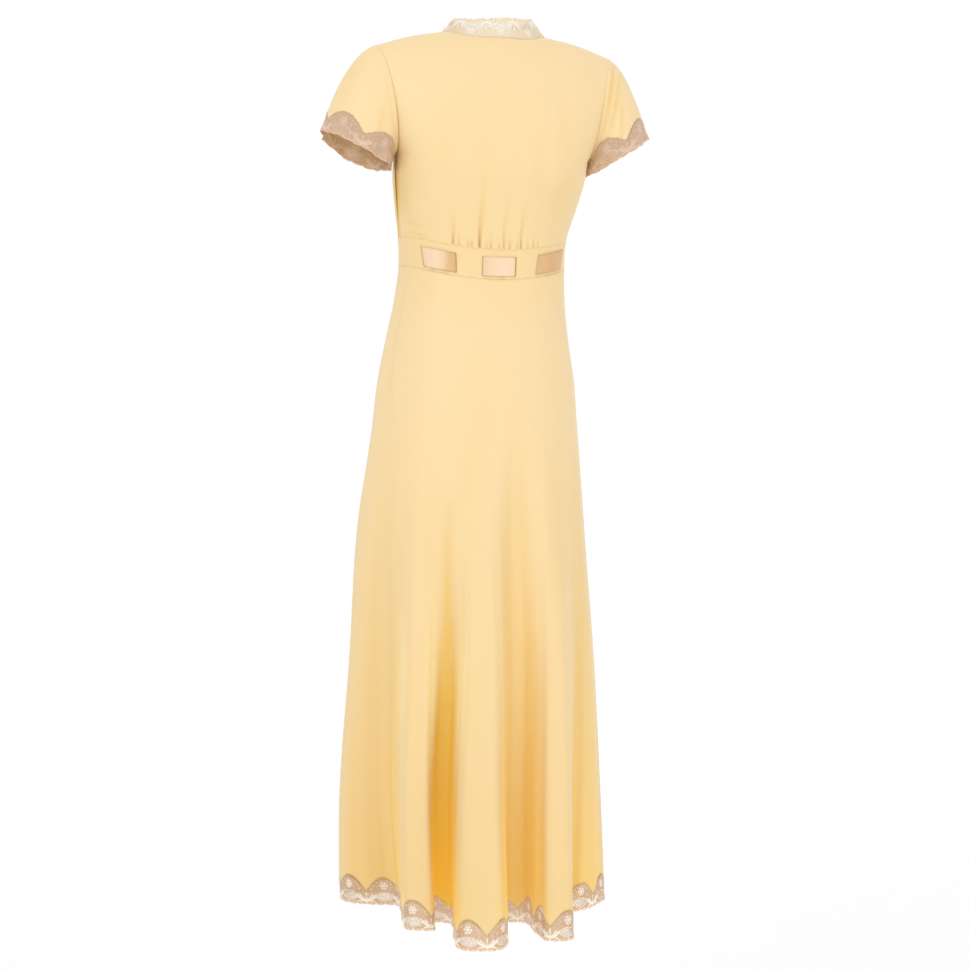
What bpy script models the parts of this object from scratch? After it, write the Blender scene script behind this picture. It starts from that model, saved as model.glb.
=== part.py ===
"""Long silk dress, filled out as worn but empty: a gathered bodice with short sleeves, a narrow waistband
with a ribbon threaded through upright slits, and a flared skirt that falls in deep soft folds. Stretch lace
edges the neck, the sleeve ends and the hem.

The front faces -Y and the back +Y; the wearer's left is +X. The origin is the middle of the shoulder line,
where the dress hangs from its wearer. Tables are in centimetres and degrees; angles run round from the
middle of the back towards the wearer's left."""

import math

import bpy
import numpy as np

CM = 0.01
WALL = 0.10
SEAM_GAP = 0.03
HALF_GAP = SEAM_GAP / 2
RIDGE_GAP = 0.035
LACE_GAP = 0.042
NECK_GAP = 0.07
V_GAP = 0.13

# Heights of the seams below the shoulder line.
UNDERARM = -17.8
YOKE_FOOT_DROP = 3.0
BAND_TOP_SIDE = -30.6
BAND_TOP_BACK = -33.2
BAND_TOP_FRONT = -31.4
BAND_TALL = 4.3

# The body of the dress, level by level.
SECTIONS = np.array([
    # height, half width, back depth, front depth, aside, lean, squareness
    (-17.8, 15.25, 10.4, 12.0, -0.9, 2.1, 2.35),
    (-21.5, 15.05, 10.4, 12.4, -0.7, 1.6, 2.25),
    (-25.5, 14.35, 10.1, 11.5, -0.4, 0.9, 2.15),
    (-30.5, 13.35, 9.8, 10.1, 0.0, 0.2, 2.05),
    (-35.5, 13.20, 9.8, 9.9, 0.1, 0.0, 2.00),
    (-40.0, 13.55, 10.3, 10.1, 0.4, 0.0, 2.00),
    (-46.0, 14.45, 11.6, 10.6, 0.8, 0.0, 2.00),
    (-52.5, 15.55, 12.8, 11.3, 1.0, 0.0, 2.00),
    (-60.0, 16.25, 13.7, 12.2, 1.2, 0.0, 2.00),
    (-75.0, 18.10, 15.2, 13.8, 1.8, 0.0, 2.00),
    (-95.0, 19.80, 16.6, 15.5, 1.7, 0.0, 2.00),
    (-118.0, 21.50, 17.8, 17.1, 2.1, 0.0, 2.00),
    (-137.0, 22.10, 18.6, 18.2, 1.9, 0.0, 2.00),
])

# The upper bodice. Each column of cloth leaves the underarm line and arches past two guide points to the
# shoulder seam. Stations stand across the half width, from the middle to the armhole.
NECK_SIDE = 0.4435
STATIONS = np.array([0.0, NECK_SIDE, 0.72, 1.0])
YOKE_STEPS = 8
YOKE_ASIDE = -0.9
BACK_YOKE = np.array([
    # guide low: across, back, up   guide high: across, back, up   seam: across, back, up
    (0.0, 13.0, -11.5, 0.0, 11.9, 0.2, 0.0, 3.9, 2.4),
    (7.1, 12.5, -12.0, 8.0, 11.4, -0.6, 8.3, 3.6, 1.0),
    (11.5, 11.3, -13.0, 13.3, 10.1, -0.9, 13.5, 3.4, 0.0),
    (15.2, 9.3, -17.8, 17.5, 9.1, -3.0, 18.7, 3.2, -1.6),
])
FRONT_YOKE = np.array([
    (0.0, -12.3, -13.0, 0.0, -9.3, 0.5, 0.0, 3.9, 2.4),
    (7.0, -11.4, -12.6, 8.0, -6.8, -1.1, 8.3, 3.6, 1.0),
    (11.3, -9.2, -13.2, 13.2, -5.0, -1.1, 13.5, 3.4, 0.0),
    (15.2, -5.6, -17.8, 17.1, -4.2, -3.3, 18.7, 3.2, -1.6),
])
# Where the neck cuts those columns short, as a share of the arch: round behind, a V in front.
NECK_CUTS = np.array([
    # station, back, front
    (0.00, 0.770, 0.22),
    (0.11, 0.776, 0.34),
    (0.22, 0.798, 0.50),
    (0.33, 0.855, 0.70),
    (NECK_SIDE, 1.0, 1.00),
])

# Gathers over the middle of the back, from the wearer's right to the left. They reach past the neck sides
# by the share below.
GATHER_REACH = 1.25
GATHERS = np.array([
    # length, depth
    (1.8, 0.10), (2.4, 0.12), (1.6, 0.10), (8.5, 0.20), (2.2, 0.12),
    (3.0, 0.14), (11.5, 0.15), (2.0, 0.12), (3.2, 0.14), (1.8, 0.12),
    (12.6, 0.28), (2.4, 0.14), (1.8, 0.12), (2.6, 0.12), (5.8, 0.22),
])

# Turning points of the hem seen from above: crests and valleys by turns, from the wearer's left side seam
# round the back to the right side seam and home round the front.
HEM_FOLDS = np.array([
    # across, back, half width, angle at the hip, hem height, height where the fold starts
    (21.8, -4.0, 3.2, 90, -133.4, -60),
    (14.6, 0.2, 1.5, 73, -133.7, -62),
    (14.0, 15.6, 2.3, 53, -134.4, -64),
    (8.3, 6.9, 1.3, 37, -135.8, -72),
    (5.9, 21.8, 3.6, 15, -137.2, -60),
    (-2.8, 9.4, 1.4, -6, -135.6, -55),
    (-6.5, 20.5, 2.2, -29, -136.7, -60),
    (-12.4, 6.6, 1.5, -56, -135.3, -62),
    (-19.7, 1.4, 3.0, -90, -134.8, -62),
    (-13.4, -6.4, 1.5, -112, -134.6, -60),
    (-14.2, -15.4, 2.6, -134, -134.6, -62),
    (-6.4, -9.6, 1.6, -157, -134.2, -66),
    (-0.6, -19.8, 3.2, -179, -134.0, -60),
    (5.8, -9.4, 1.6, -202, -133.8, -64),
    (13.6, -15.4, 2.6, -225, -133.6, -62),
    (14.4, -8.2, 1.5, -248, -133.4, -60),
])
FOLD_GROWTH = 1.35

# Lace at the hem and the sleeve ends: a scalloped upper edge, with pointed dips and round peaks.
SCALLOPS_EACH_PANEL = 20
SCALLOP_COLUMNS = 4
HEM_LACE_DIP = 2.1
HEM_LACE_PEAK = 4.3
CUFF_SCALLOPS = 5
CUFF_LACE_DIP = 2.4
CUFF_LACE_PEAK = 4.4
SLEEVE_SILK_LEAST = 0.6

# The sleeve ends: a flattened ring tilted off each arm, and how far the sleeve head stands out above it.
CUFF_BACK = 1.9
CUFF_HALF_FLAT = 5.2
SLEEVE_PULL = 0.09
SLEEVE_ENDS = {
    # wearer's side: across, height, half long, tilt, head, scallop start
    1: (20.6, -17.7, 5.98, 26.8, 0.82, -0.19),
    -1: (-21.4, -17.1, 6.00, 31.5, 0.73, -0.15),
}

# The standing lace at the neck, measured from the seam to its free edge, and how much more it rises on the
# wearer's right.
NECK_LACE_RIGHT_LIFT = 0.7
NECK_LACE = np.array([
    # place along the half ring, across, back, up
    (0.00, 0.0, -1.0, 3.30),
    (0.22, -1.5, -0.9, 2.90),
    (0.38, -2.6, -0.2, 2.30),
    (0.60, -2.9, 0.0, 1.50),
    (0.80, -2.1, 0.6, 2.60),
    (1.00, 0.0, 2.3, 6.20),
])

# Windows of the ribbon, by the angles of their ends, the same behind and in front.
WINDOWS = ((-61.0, -30.3), (-12.25, 12.25), (30.3, 55.0))
SLIT_HALF_ANGLE = 1.9
BAND_BELOW_WINDOW = 0.35
WINDOW_TALL = 3.3
RIBBON_TALL = 3.1
RIBBON_WALL = 0.08
RIBBON_CLEAR = 0.14
RIBBON_BULGE = 0.16

SILK = ("silk", (0.955, 0.735, 0.400, 1.0), 0.42)
SATIN = ("satin_ribbon", (0.86, 0.56, 0.36, 1.0), 0.30)
LACE = ("lace", (0.70, 0.48, 0.35, 1.0), 0.75)


def spline(knots, values, at, closed=False):
    """Smooth curve through the values, one row for each knot, with slopes from the neighbouring rows."""
    knots = np.asarray(knots, float)
    values = np.asarray(values, float)
    if closed:
        step = np.diff(knots)
        ring = values[:-1]
        slope = (np.roll(ring, -1, 0) - np.roll(ring, 1, 0)) / (step + np.roll(step, 1))[:, None]
        slope = np.vstack([slope, slope[:1]])
    else:
        slope = np.gradient(values, knots, axis=0)
    at = np.asarray(at, float)
    cell = np.clip(np.searchsorted(knots, at, side="right") - 1, 0, len(knots) - 2)
    width = knots[cell + 1] - knots[cell]
    t = (at - knots[cell]) / width
    shape = t.shape + (1,) * (values.ndim - 1)
    t = t.reshape(shape)
    width = width.reshape(shape)
    return ((2 * t**3 - 3 * t**2 + 1) * values[cell] + (t**3 - 2 * t**2 + t) * width * slope[cell]
            + (3 * t**2 - 2 * t**3) * values[cell + 1] + (t**3 - t**2) * width * slope[cell + 1])


def section(height):
    """The body's measures at a height: half width, back depth, front depth, aside, lean, squareness."""
    return spline(-SECTIONS[:, 0], SECTIONS[:, 1:], -np.asarray(height, float))


def band_top(angle):
    """Height of the waistband's upper seam, lowest in the middle of the back."""
    along = np.cos(np.radians(angle))
    dip = np.where(along > 0, BAND_TOP_BACK - BAND_TOP_SIDE, BAND_TOP_FRONT - BAND_TOP_SIDE)
    return BAND_TOP_SIDE + dip * along**2


def body(angle, height, out=0.0):
    """Points of the body at angles and heights, moved outward by a distance."""
    angle, height = np.broadcast_arrays(np.asarray(angle, float), np.asarray(height, float))
    measures = section(height)
    wide, back, front, aside, lean, square = np.moveaxis(measures, -1, 0)
    s, c = np.sin(np.radians(angle)), np.cos(np.radians(angle))
    deep = np.where(c > 0, back, front)
    power = 2 / square
    x = wide * np.sign(s) * np.abs(s) ** power
    y = deep * np.sign(c) * np.abs(c) ** power
    outward = np.stack([x / wide**2, y / deep**2], -1)
    outward /= np.linalg.norm(outward, axis=-1, keepdims=True)
    x = x + aside + out * outward[..., 0]
    y = y + lean + out * outward[..., 1]
    return np.stack([x, y, height], -1)


def pulled_in(grid, **amounts):
    """The grid with the named edges (low, high, first, last) drawn back along their own cloth by amounts."""
    grid = grid.copy()
    views = {"low": (grid[0], grid[1]), "high": (grid[-1], grid[-2]),
             "first": (grid[:, 0], grid[:, 1]), "last": (grid[:, -1], grid[:, -2])}
    moves = {}
    for edge, amount in amounts.items():
        rim, inner = views[edge]
        run = inner - rim
        moves[edge] = run / np.linalg.norm(run, axis=-1, keepdims=True) * amount
    for edge, move in moves.items():
        views[edge][0][...] += move
    return grid


def panel(name, grid, look, wraps=False, holes=None, wall=WALL):
    """A named cloth body: the grid of points as faces, thickened by its wall."""
    rows, columns = grid.shape[:2]
    index = np.arange(rows * columns).reshape(rows, columns)
    if wraps:
        index = np.column_stack([index, index[:, :1]])
    faces = np.stack([index[:-1, :-1], index[:-1, 1:], index[1:, 1:], index[1:, :-1]], -1)
    faces = faces.reshape(-1, 4) if holes is None else faces[~holes]
    mesh = bpy.data.meshes.new(name)
    mesh.from_pydata((grid.reshape(-1, 3) * CM).tolist(), [], faces.tolist())
    mesh.materials.append(material(*look))
    cloth = bpy.data.objects.new(name, mesh)
    collection.objects.link(cloth)
    thick = cloth.modifiers.new("Wall", "SOLIDIFY")
    thick.thickness = wall * CM
    thick.offset = 0.0
    thick.use_even_offset = False
    for polygon in mesh.polygons:
        polygon.use_smooth = True
    return cloth


def material(name, colour, roughness):
    """One shared surface for each cloth."""
    found = bpy.data.materials.get(name)
    if found:
        return found
    made = bpy.data.materials.new(name)
    made.use_nodes = True
    shader = made.node_tree.nodes["Principled BSDF"]
    shader.inputs["Base Color"].default_value = colour
    shader.inputs["Roughness"].default_value = roughness
    shader.inputs["Metallic"].default_value = 0.0
    made.diffuse_color = colour
    return made


def yoke_foot(across):
    """Height of the line where the upper bodice begins: highest at the side seam, under the arm."""
    return UNDERARM - YOKE_FOOT_DROP * (1 - np.abs(across) ** 6)


def yoke(table, across, rise):
    """Points of the upper bodice: 'across' runs from -1 to 1 between the armholes, 'rise' from 0 to 1."""
    side = np.sign(table[0, 1])
    away = np.abs(across)
    guides = spline(STATIONS, table, away).reshape(-1, 3, 3)
    guides[:, :, 0] = guides[:, :, 0] * np.sign(across)[:, None] + YOKE_ASIDE
    foot = across_body(side, across, yoke_foot(across))
    cut = spline(NECK_CUTS[:, 0], NECK_CUTS[:, 1 if side > 0 else 2], away)
    t = (np.asarray(rise)[:, None] * np.where(away < NECK_SIDE, cut, 1.0))[..., None]
    return ((1 - t) ** 3 * foot + 3 * t * (1 - t) ** 2 * guides[:, 0] + 3 * t**2 * (1 - t) * guides[:, 1]
            + t**3 * guides[:, 2])


def across_body(side, across, height):
    """Points of the body's back or front at a share of its half width and a height."""
    wide, back, front, aside, lean, square = np.moveaxis(section(height), -1, 0)
    deep = back if side > 0 else front
    y = lean + side * deep * (1 - np.abs(across) ** square) ** (1 / square)
    return np.stack([wide * across + aside, y, height], -1)


def bodice(name, table, across, lifts, gathers):
    """A bodice panel from the waistband to the shoulder and neck seams."""
    side = np.sign(table[0, 1])
    rows = []
    around = np.degrees(np.arcsin(np.clip(across, -1, 1)))
    seam = band_top(around if side > 0 else 180 - around)
    for lift in lifts:
        height = seam + (yoke_foot(across) - seam) * lift
        row = across_body(side, across, height)
        if gathers is not None:
            row[:, 1] += side * gathers(height - seam)
        rows.append(row)
    grid = np.concatenate([rows, yoke(table, across, np.arange(1, YOKE_STEPS + 1) / YOKE_STEPS)])
    return panel(name, pulled_in(grid, low=HALF_GAP, high=RIDGE_GAP, first=HALF_GAP, last=HALF_GAP), SILK)


def gathered(lifted):
    """Small pleats at the middle of the back: every second column is a valley, the ones between stand out."""
    count = len(GATHERS)
    valleys = GATHERS[:, 1] * np.clip(1 - lifted[MIDDLE][1::2] / GATHERS[:, 0], 0, 1) ** 1.5
    crests = np.concatenate([[0], (valleys[:-1] + valleys[1:]) / 2, [0]])
    out = np.zeros_like(lifted)
    start = MIDDLE.start
    out[start:start + 2 * count + 1:2] = crests * 0.6
    out[start + 1:start + 2 * count:2] = -valleys
    return out


def sleeve(side):
    """A short sleeve with its lace: columns run from the armhole to the sleeve end."""
    edge = np.array([float(side)])
    back = yoke(BACK_YOKE, edge, np.linspace(1, 0, YOKE_STEPS + 1))[:, 0]
    front = yoke(FRONT_YOKE, edge, np.linspace(0, 1, YOKE_STEPS + 1))[:, 0]
    corners = np.vstack([back, front[1:-1]])
    middles = (corners + np.roll(corners, -1, 0)) / 2
    armhole = np.stack([corners, middles], 1).reshape(-1, 3)
    count = len(armhole)
    turn = np.radians(np.arange(count) * 360 / count)
    across, height, half_long, tilt, head, scallop_start = SLEEVE_ENDS[side]
    tilt = math.radians(tilt)
    long_way = np.array([side * math.cos(tilt), 0, math.sin(tilt)]) * half_long
    middle = np.array([across, CUFF_BACK, height])
    end = (middle + np.cos(turn)[:, None] * long_way
           + np.sin(turn)[:, None] * np.array([0, CUFF_HALF_FLAT, 0]))
    span = np.linalg.norm(end - armhole, axis=1)[:, None]
    low = (1 - np.cos(turn)) / 2
    leave = np.stack([side * (head + (0.85 - head) * low), 0.22 * np.sin(turn), -0.26 - 0.30 * low], -1) * span
    arrive = np.array([side * 0.26, 0, -0.93]) * span
    pull = HALF_GAP + SLEEVE_PULL * low
    start = armhole + leave / np.linalg.norm(leave, axis=1, keepdims=True) * pull[:, None]

    def along(t):
        t = t[..., None]
        return ((2 * t**3 - 3 * t**2 + 1) * start + (t**3 - 2 * t**2 + t) * leave
                + (3 * t**2 - 2 * t**3) * end + (t**3 - t**2) * arrive)

    steps = np.linspace(0, 1, 41)[:, None] * np.ones(count)
    length = np.linalg.norm(np.diff(along(steps), axis=0), axis=-1).sum(0)
    phase = (turn / (2 * math.pi)) * CUFF_SCALLOPS + scallop_start
    tall = CUFF_LACE_DIP + (CUFF_LACE_PEAK - CUFF_LACE_DIP) * np.abs(np.sin(math.pi * phase))
    cut = 1 - np.minimum(tall, length - SLEEVE_SILK_LEAST) / length
    silk = along(np.linspace(0, 1, 7)[:, None] ** 0.85 * cut)
    lace = along(cut + (1 - cut) * np.linspace(0, 1, 3)[:, None])
    silk = pulled_in(silk, high=LACE_GAP)
    lace = pulled_in(lace, low=LACE_GAP)
    where = "left" if side > 0 else "right"
    panel(f"sleeve_{where}", silk, SILK, wraps=True)
    panel(f"cuff_lace_{where}", lace, LACE, wraps=True)


def neckline():
    """The neck seam as a closed ring, from the middle back over the wearer's left, the V, and home."""
    seam = np.array([1.0])
    inside = back_columns[(back_columns > -0.001) & (back_columns < NECK_SIDE + 0.001)]
    back = yoke(BACK_YOKE, inside, seam)[0]
    inside = front_columns[(front_columns > -0.001) & (front_columns < NECK_SIDE + 0.001)]
    front = yoke(FRONT_YOKE, inside[::-1], seam)[0]
    half = np.vstack([back, front[1:]])
    steps = np.linalg.norm(np.diff(half, axis=0), axis=1)
    place = np.append(0, np.cumsum(steps)) / steps.sum()
    rise = spline(NECK_LACE[:, 0], NECK_LACE[:, 1:], place)
    rise[0, 0] = rise[-1, 0] = 0
    run = rise / np.linalg.norm(rise, axis=1, keepdims=True)
    foot = half + run * (NECK_GAP + V_GAP * place[:, None] ** 2)
    left = foot + np.array([0.0, 0.5, 1.0])[:, None, None] * rise
    right = left[:, -2:0:-1] * np.array([-1, 1, 1]) + np.array([2 * YOKE_ASIDE, 0, 0])
    right[..., 2] += np.array([[0.0], [0.5], [1.0]]) * NECK_LACE_RIGHT_LIFT * np.sin(math.pi * place[-2:0:-1])
    return np.concatenate([left, right], 1)


def round_hem():
    """The folded hem as a closed dense curve: points, hip angles, hem heights, fold starts, cut at the seams."""
    centre = HEM_FOLDS[:, :2]
    count = len(centre)
    before, after = np.roll(centre, 1, 0), np.roll(centre, -1, 0)
    axis = centre - (before + after) / 2
    axis /= np.linalg.norm(axis, axis=1, keepdims=True)
    along = after - before
    along -= (along * axis).sum(1, keepdims=True) * axis
    along /= np.linalg.norm(along, axis=1, keepdims=True)
    half = HEM_FOLDS[:, 2:3]
    points = np.stack([centre - along * half - axis * half * 0.42, centre,
                       centre + along * half - axis * half * 0.42], 1).reshape(-1, 2)
    points = np.roll(points, -1, 0)
    loop = np.vstack([points, points[:1]])
    chord = np.concatenate([[0], np.cumsum(np.linalg.norm(np.diff(loop, axis=0), axis=1) ** 0.75)])
    dense = np.linspace(0, chord[-1], 4001)
    curve = spline(chord, loop, dense, closed=True)
    length = np.concatenate([[0], np.cumsum(np.linalg.norm(np.diff(curve, axis=0), axis=1))])
    marks = np.interp(np.append(chord[:-1:3], chord[-1]), dense, length)
    table = np.vstack([HEM_FOLDS[:, 3:], HEM_FOLDS[:1, 3:] + np.array([-360, 0, 0])])
    carried = np.stack([np.interp(length, marks, column) for column in table.T], -1)
    soft = np.ones(181) / 181
    wide = np.vstack([carried[:-1] + np.array([360, 0, 0]), carried, carried[1:] - np.array([360, 0, 0])])
    carried = np.stack([np.convolve(column, soft, "same") for column in wide.T], -1)[4000:8001]
    return curve, length, carried


def skirt(which, grid_rows):
    """Silk panel and hem lace of one half of the skirt."""
    curve, length, carried = round_hem()
    seams = (0.0, np.interp(90, -carried[:, 0], length), length[-1])
    first, last = (seams[0], seams[1]) if which == "back" else (seams[1], seams[2])
    count = SCALLOPS_EACH_PANEL * SCALLOP_COLUMNS
    walk = np.linspace(first, last, count + 1)
    hem = np.stack([np.interp(walk, length, column) for column in curve.T], -1)
    angle, hem_height, starts = [np.interp(walk, length, column) for column in carried.T]
    offset = hem - body(angle, hem_height)[:, :2]
    waist = band_top(angle) - BAND_TALL
    phase = np.arange(count + 1) / SCALLOP_COLUMNS
    lace_tall = HEM_LACE_DIP + (HEM_LACE_PEAK - HEM_LACE_DIP) * np.abs(np.sin(math.pi * phase))
    silk_end = hem_height + lace_tall

    def at(height):
        points = body(angle, height)
        grown = np.clip((starts - height) / (starts - hem_height), 0, 1) ** FOLD_GROWTH
        points[..., :2] += grown[..., None] * offset
        return points

    down = np.asarray(grid_rows)[:, None]
    silk = at(waist + (silk_end - waist) * down)
    lace = at(silk_end + (hem_height - silk_end) * np.array([0.0, 1.0])[:, None])
    panel(f"skirt_{which}", pulled_in(silk, low=HALF_GAP, high=LACE_GAP, first=HALF_GAP, last=HALF_GAP), SILK)
    panel(f"hem_lace_{which}", pulled_in(lace, low=LACE_GAP, first=HALF_GAP, last=HALF_GAP), LACE)


def band_angles(extra):
    """Angles round the band: both edges of every slit, and even steps between them."""
    slits = np.array([a for turn in (0, 180) for window in WINDOWS for a in (window[0] + turn, window[1] + turn)])
    stops = np.sort(np.concatenate([slits + d for d in extra]))
    stops = np.append(stops, stops[0] + 360)
    out = []
    for low, high in zip(stops[:-1], stops[1:]):
        pieces = max(1, round((high - low) / 7.5))
        out.extend(np.linspace(low, high, pieces, endpoint=False))
    return np.array(out), slits


def waistband():
    """The slit band and the ribbon that goes in and out of it."""
    angle, slits = band_angles((-SLIT_HALF_ANGLE, SLIT_HALF_ANGLE))
    top = band_top(angle)
    lines = (np.full_like(top, BAND_TALL), np.full_like(top, BAND_TALL - BAND_BELOW_WINDOW),
             np.full_like(top, BAND_TALL - BAND_BELOW_WINDOW - WINDOW_TALL), np.zeros_like(top))
    grid = np.stack([body(angle, top - drop) for drop in lines])
    middle = (angle + np.append(angle[1:], angle[0] + 360)) / 2
    near = np.abs((middle[:, None] - slits + 180) % 360 - 180).min(1)
    holes = np.zeros((3, len(angle)), bool)
    holes[1] = near < SLIT_HALF_ANGLE / 2
    panel("waistband", pulled_in(grid, low=HALF_GAP, high=HALF_GAP), SILK, wraps=True, holes=holes)

    angle, slits = band_angles((-1.6, -0.55, 0.55, 1.6))
    turned = (angle + 180) % 180
    turned = np.where(turned > 90, turned - 180, turned)
    place = np.full_like(angle, -1.0)
    for low, high in WINDOWS:
        inside = (turned > low) & (turned < high)
        place[inside] = 1.0
    away = np.abs((angle[:, None] - slits + 180) % 360 - 180).min(1)
    step = place * np.clip(away / 1.6, 0, 1)
    bulge = np.where(place > 0, RIBBON_BULGE * np.clip((away - 1.6) / 8, 0, 1), 0)
    top = band_top(angle) - (BAND_TALL - BAND_BELOW_WINDOW - WINDOW_TALL / 2) + RIBBON_TALL / 2
    grid = np.stack([body(angle, top - drop, step * RIBBON_CLEAR + bulge) for drop in (RIBBON_TALL, 0.0)])
    panel("ribbon", grid, SATIN, wraps=True, wall=RIBBON_WALL)


for old in list(bpy.data.objects):
    bpy.data.objects.remove(old, do_unlink=True)
collection = bpy.data.collections.new("silk_dress")
bpy.context.scene.collection.children.link(collection)

# Columns across the back: close together over the gathers, wider towards the side seams.
reach = NECK_SIDE * GATHER_REACH
inner = np.linspace(-reach, reach, 2 * len(GATHERS) + 1)
outer = np.sin(np.linspace(math.asin(reach), math.pi / 2, 9))[1:]
back_columns = np.concatenate([-outer[::-1], inner, outer])
MIDDLE = slice(len(outer), len(outer) + len(inner))
bodice("bodice_back", BACK_YOKE, back_columns, (0.0, 0.06, 0.13, 0.22, 0.34, 0.50, 0.74, 1.0), gathered)

half_columns = np.concatenate([np.linspace(0, NECK_SIDE, 8)[:-1], inner[-4:], outer])
front_columns = np.concatenate([-half_columns[:0:-1], half_columns])
bodice("bodice_front", FRONT_YOKE, front_columns, (0.0, 0.18, 0.38, 0.60, 0.80, 1.0), None)

for wearer_side in (1, -1):
    sleeve(wearer_side)
waistband()
for half_name in ("back", "front"):
    skirt(half_name, (0.0, 0.04, 0.10, 0.18, 0.29, 0.43, 0.60, 0.79, 0.96, 1.0))
panel("neck_lace", neckline(), LACE, wraps=True)
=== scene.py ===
# %% [markdown]
# # A long silk dress with lace edges
# The dress stands filled out as if worn, but empty: a gathered bodice with short sleeves, a narrow band with
# a satin ribbon threaded through it, and a flared skirt in deep soft folds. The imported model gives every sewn
# piece its place. This script lays a finer cloth over each one and gives it its silk, satin or lace.

import math

import bpy
import numpy as np
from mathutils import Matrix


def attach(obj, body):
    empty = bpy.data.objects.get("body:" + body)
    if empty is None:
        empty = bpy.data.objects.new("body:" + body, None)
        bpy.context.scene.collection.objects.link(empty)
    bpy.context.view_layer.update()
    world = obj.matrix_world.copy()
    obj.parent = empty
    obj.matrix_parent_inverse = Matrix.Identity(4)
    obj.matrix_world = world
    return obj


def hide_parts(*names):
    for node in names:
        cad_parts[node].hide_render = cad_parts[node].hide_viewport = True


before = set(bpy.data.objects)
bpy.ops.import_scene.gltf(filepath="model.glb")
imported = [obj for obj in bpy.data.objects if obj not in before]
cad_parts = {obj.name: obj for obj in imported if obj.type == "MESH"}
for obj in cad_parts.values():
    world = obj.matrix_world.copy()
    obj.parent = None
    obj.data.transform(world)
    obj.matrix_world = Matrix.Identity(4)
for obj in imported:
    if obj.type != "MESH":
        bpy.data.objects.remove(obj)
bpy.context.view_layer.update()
print("sewn pieces:", ", ".join(sorted(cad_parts)))

# %% [markdown]
# ## Camera, floor and light
# The dress is seen from behind, a little from its left, by a level camera at hip height. A long lens keeps
# hem and neck at one scale. Small lamps would throw shadows that thin silk doesn't have, so the studio is
# pale all over: a paper sweep curves up behind the dress, one broad light stands to the left of the camera,
# a weaker one to its right, and the world fills the rest.

# %% Camera
CAMERA_TURN = math.radians(165)
CAMERA_AWAY = 3.20
CAMERA_HEIGHT = -0.69
BEHIND = np.array([math.sin(CAMERA_TURN), -math.cos(CAMERA_TURN), 0.0])


def placed(name, data):
    """A new object in the scene that shows a camera, a light or a mesh."""
    thing = bpy.data.objects.new(name, data)
    bpy.context.scene.collection.objects.link(thing)
    return thing


eye = bpy.data.cameras.new("eye")
eye.lens = 75.6
eye.sensor_width = 36
eye.shift_x = 0.003
camera = placed("camera", eye)
camera.location = BEHIND * CAMERA_AWAY + np.array([0, 0, CAMERA_HEIGHT])
camera.rotation_euler = (math.pi / 2, 0, CAMERA_TURN)
bpy.context.scene.camera = camera
bpy.context.scene.view_settings.view_transform = "Standard"
print("camera stands at", [round(v, 2) for v in camera.location])

# %% Floor and light
FLOOR = -2.30
SWEEP = 1.2
PAPER_NEAR = -6.0
PAPER_BENDS = 3.0
PAPER_TALL = 5.0
PAPER_HALF_WIDE = 9
LIT_HEIGHT = -0.7


def smooth_mesh(name, points, faces):
    """A mesh of points in metres and four-cornered faces, shaded smooth."""
    mesh = bpy.data.meshes.new(name)
    mesh.from_pydata(points.tolist(), [], faces.tolist())
    mesh.polygons.foreach_set("use_smooth", np.ones(len(faces), bool))
    return mesh


def paper_sweep():
    """A strip of paper carried sideways: flat, then a quarter circle, then upright behind the dress."""
    bend = np.radians(np.linspace(0, 90, 25))
    away = np.concatenate([[PAPER_NEAR], PAPER_BENDS + SWEEP * np.sin(bend), [PAPER_BENDS + SWEEP]])
    up = np.concatenate([[0.0], SWEEP * (1 - np.cos(bend)), [PAPER_TALL]]) + FLOOR
    side = np.array([BEHIND[1], -BEHIND[0], 0.0])
    raised = up[:, None] * np.array([0, 0, 1])
    edges = [-away[:, None] * BEHIND + wide * side + raised for wide in (PAPER_HALF_WIDE, -PAPER_HALF_WIDE)]
    low = np.arange(len(away) - 1)
    faces = np.stack([low, low + len(away), low + len(away) + 1, low + 1], 1)
    mesh = smooth_mesh("floor", np.concatenate(edges), faces)
    white = bpy.data.materials.new("paper")
    white.use_nodes = True
    shader = white.node_tree.nodes["Principled BSDF"]
    shader.inputs["Base Color"].default_value = (0.95, 0.95, 0.95, 1)
    shader.inputs["Roughness"].default_value = 0.9
    mesh.materials.append(white)
    paper = placed("floor", mesh)


def soft_light(name, turn, away, height, size, watts):
    """A square light on a circle round the dress, turned to face its middle."""
    lamp = bpy.data.lights.new(name, "AREA")
    lamp.size = size
    lamp.energy = watts
    turn = math.radians(turn)
    place = np.array([math.sin(turn) * away, -math.cos(turn) * away, height])
    toward = np.array([0, 0, LIT_HEIGHT]) - place
    tilt = math.acos(-toward[2] / np.linalg.norm(toward))
    held = placed(name, lamp)
    held.location = place
    held.rotation_euler = (tilt, 0, math.atan2(toward[1], toward[0]) - math.pi / 2)
    print(name, "light:", watts, "watts at", [round(float(v), 2) for v in place])


paper_sweep()
soft_light("key", turn=138, away=3.4, height=0.9, size=1.8, watts=27)
soft_light("fill", turn=212, away=3.6, height=-0.3, size=2.2, watts=17)
sky = bpy.data.worlds.new("studio")
sky.use_nodes = True
sky.node_tree.nodes["Background"].inputs["Color"].default_value = (1, 1, 1, 1)
sky.node_tree.nodes["Background"].inputs["Strength"].default_value = 1.0
bpy.context.scene.world = sky

# %% [markdown]
# ## Shader formulas
# Every finish below is a formula over the cloth. The small class wraps one socket of a material, so that an
# ordinary expression adds the Math nodes for it. Colours and directions have nodes of their own, and one
# method makes any of those.


# %% Sockets as numbers
def operation(kind):
    """A method that adds one Math node of a kind, on the wire itself and what else it is given."""
    return lambda wire, *others: wire.maths(kind, wire, *others)


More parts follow.
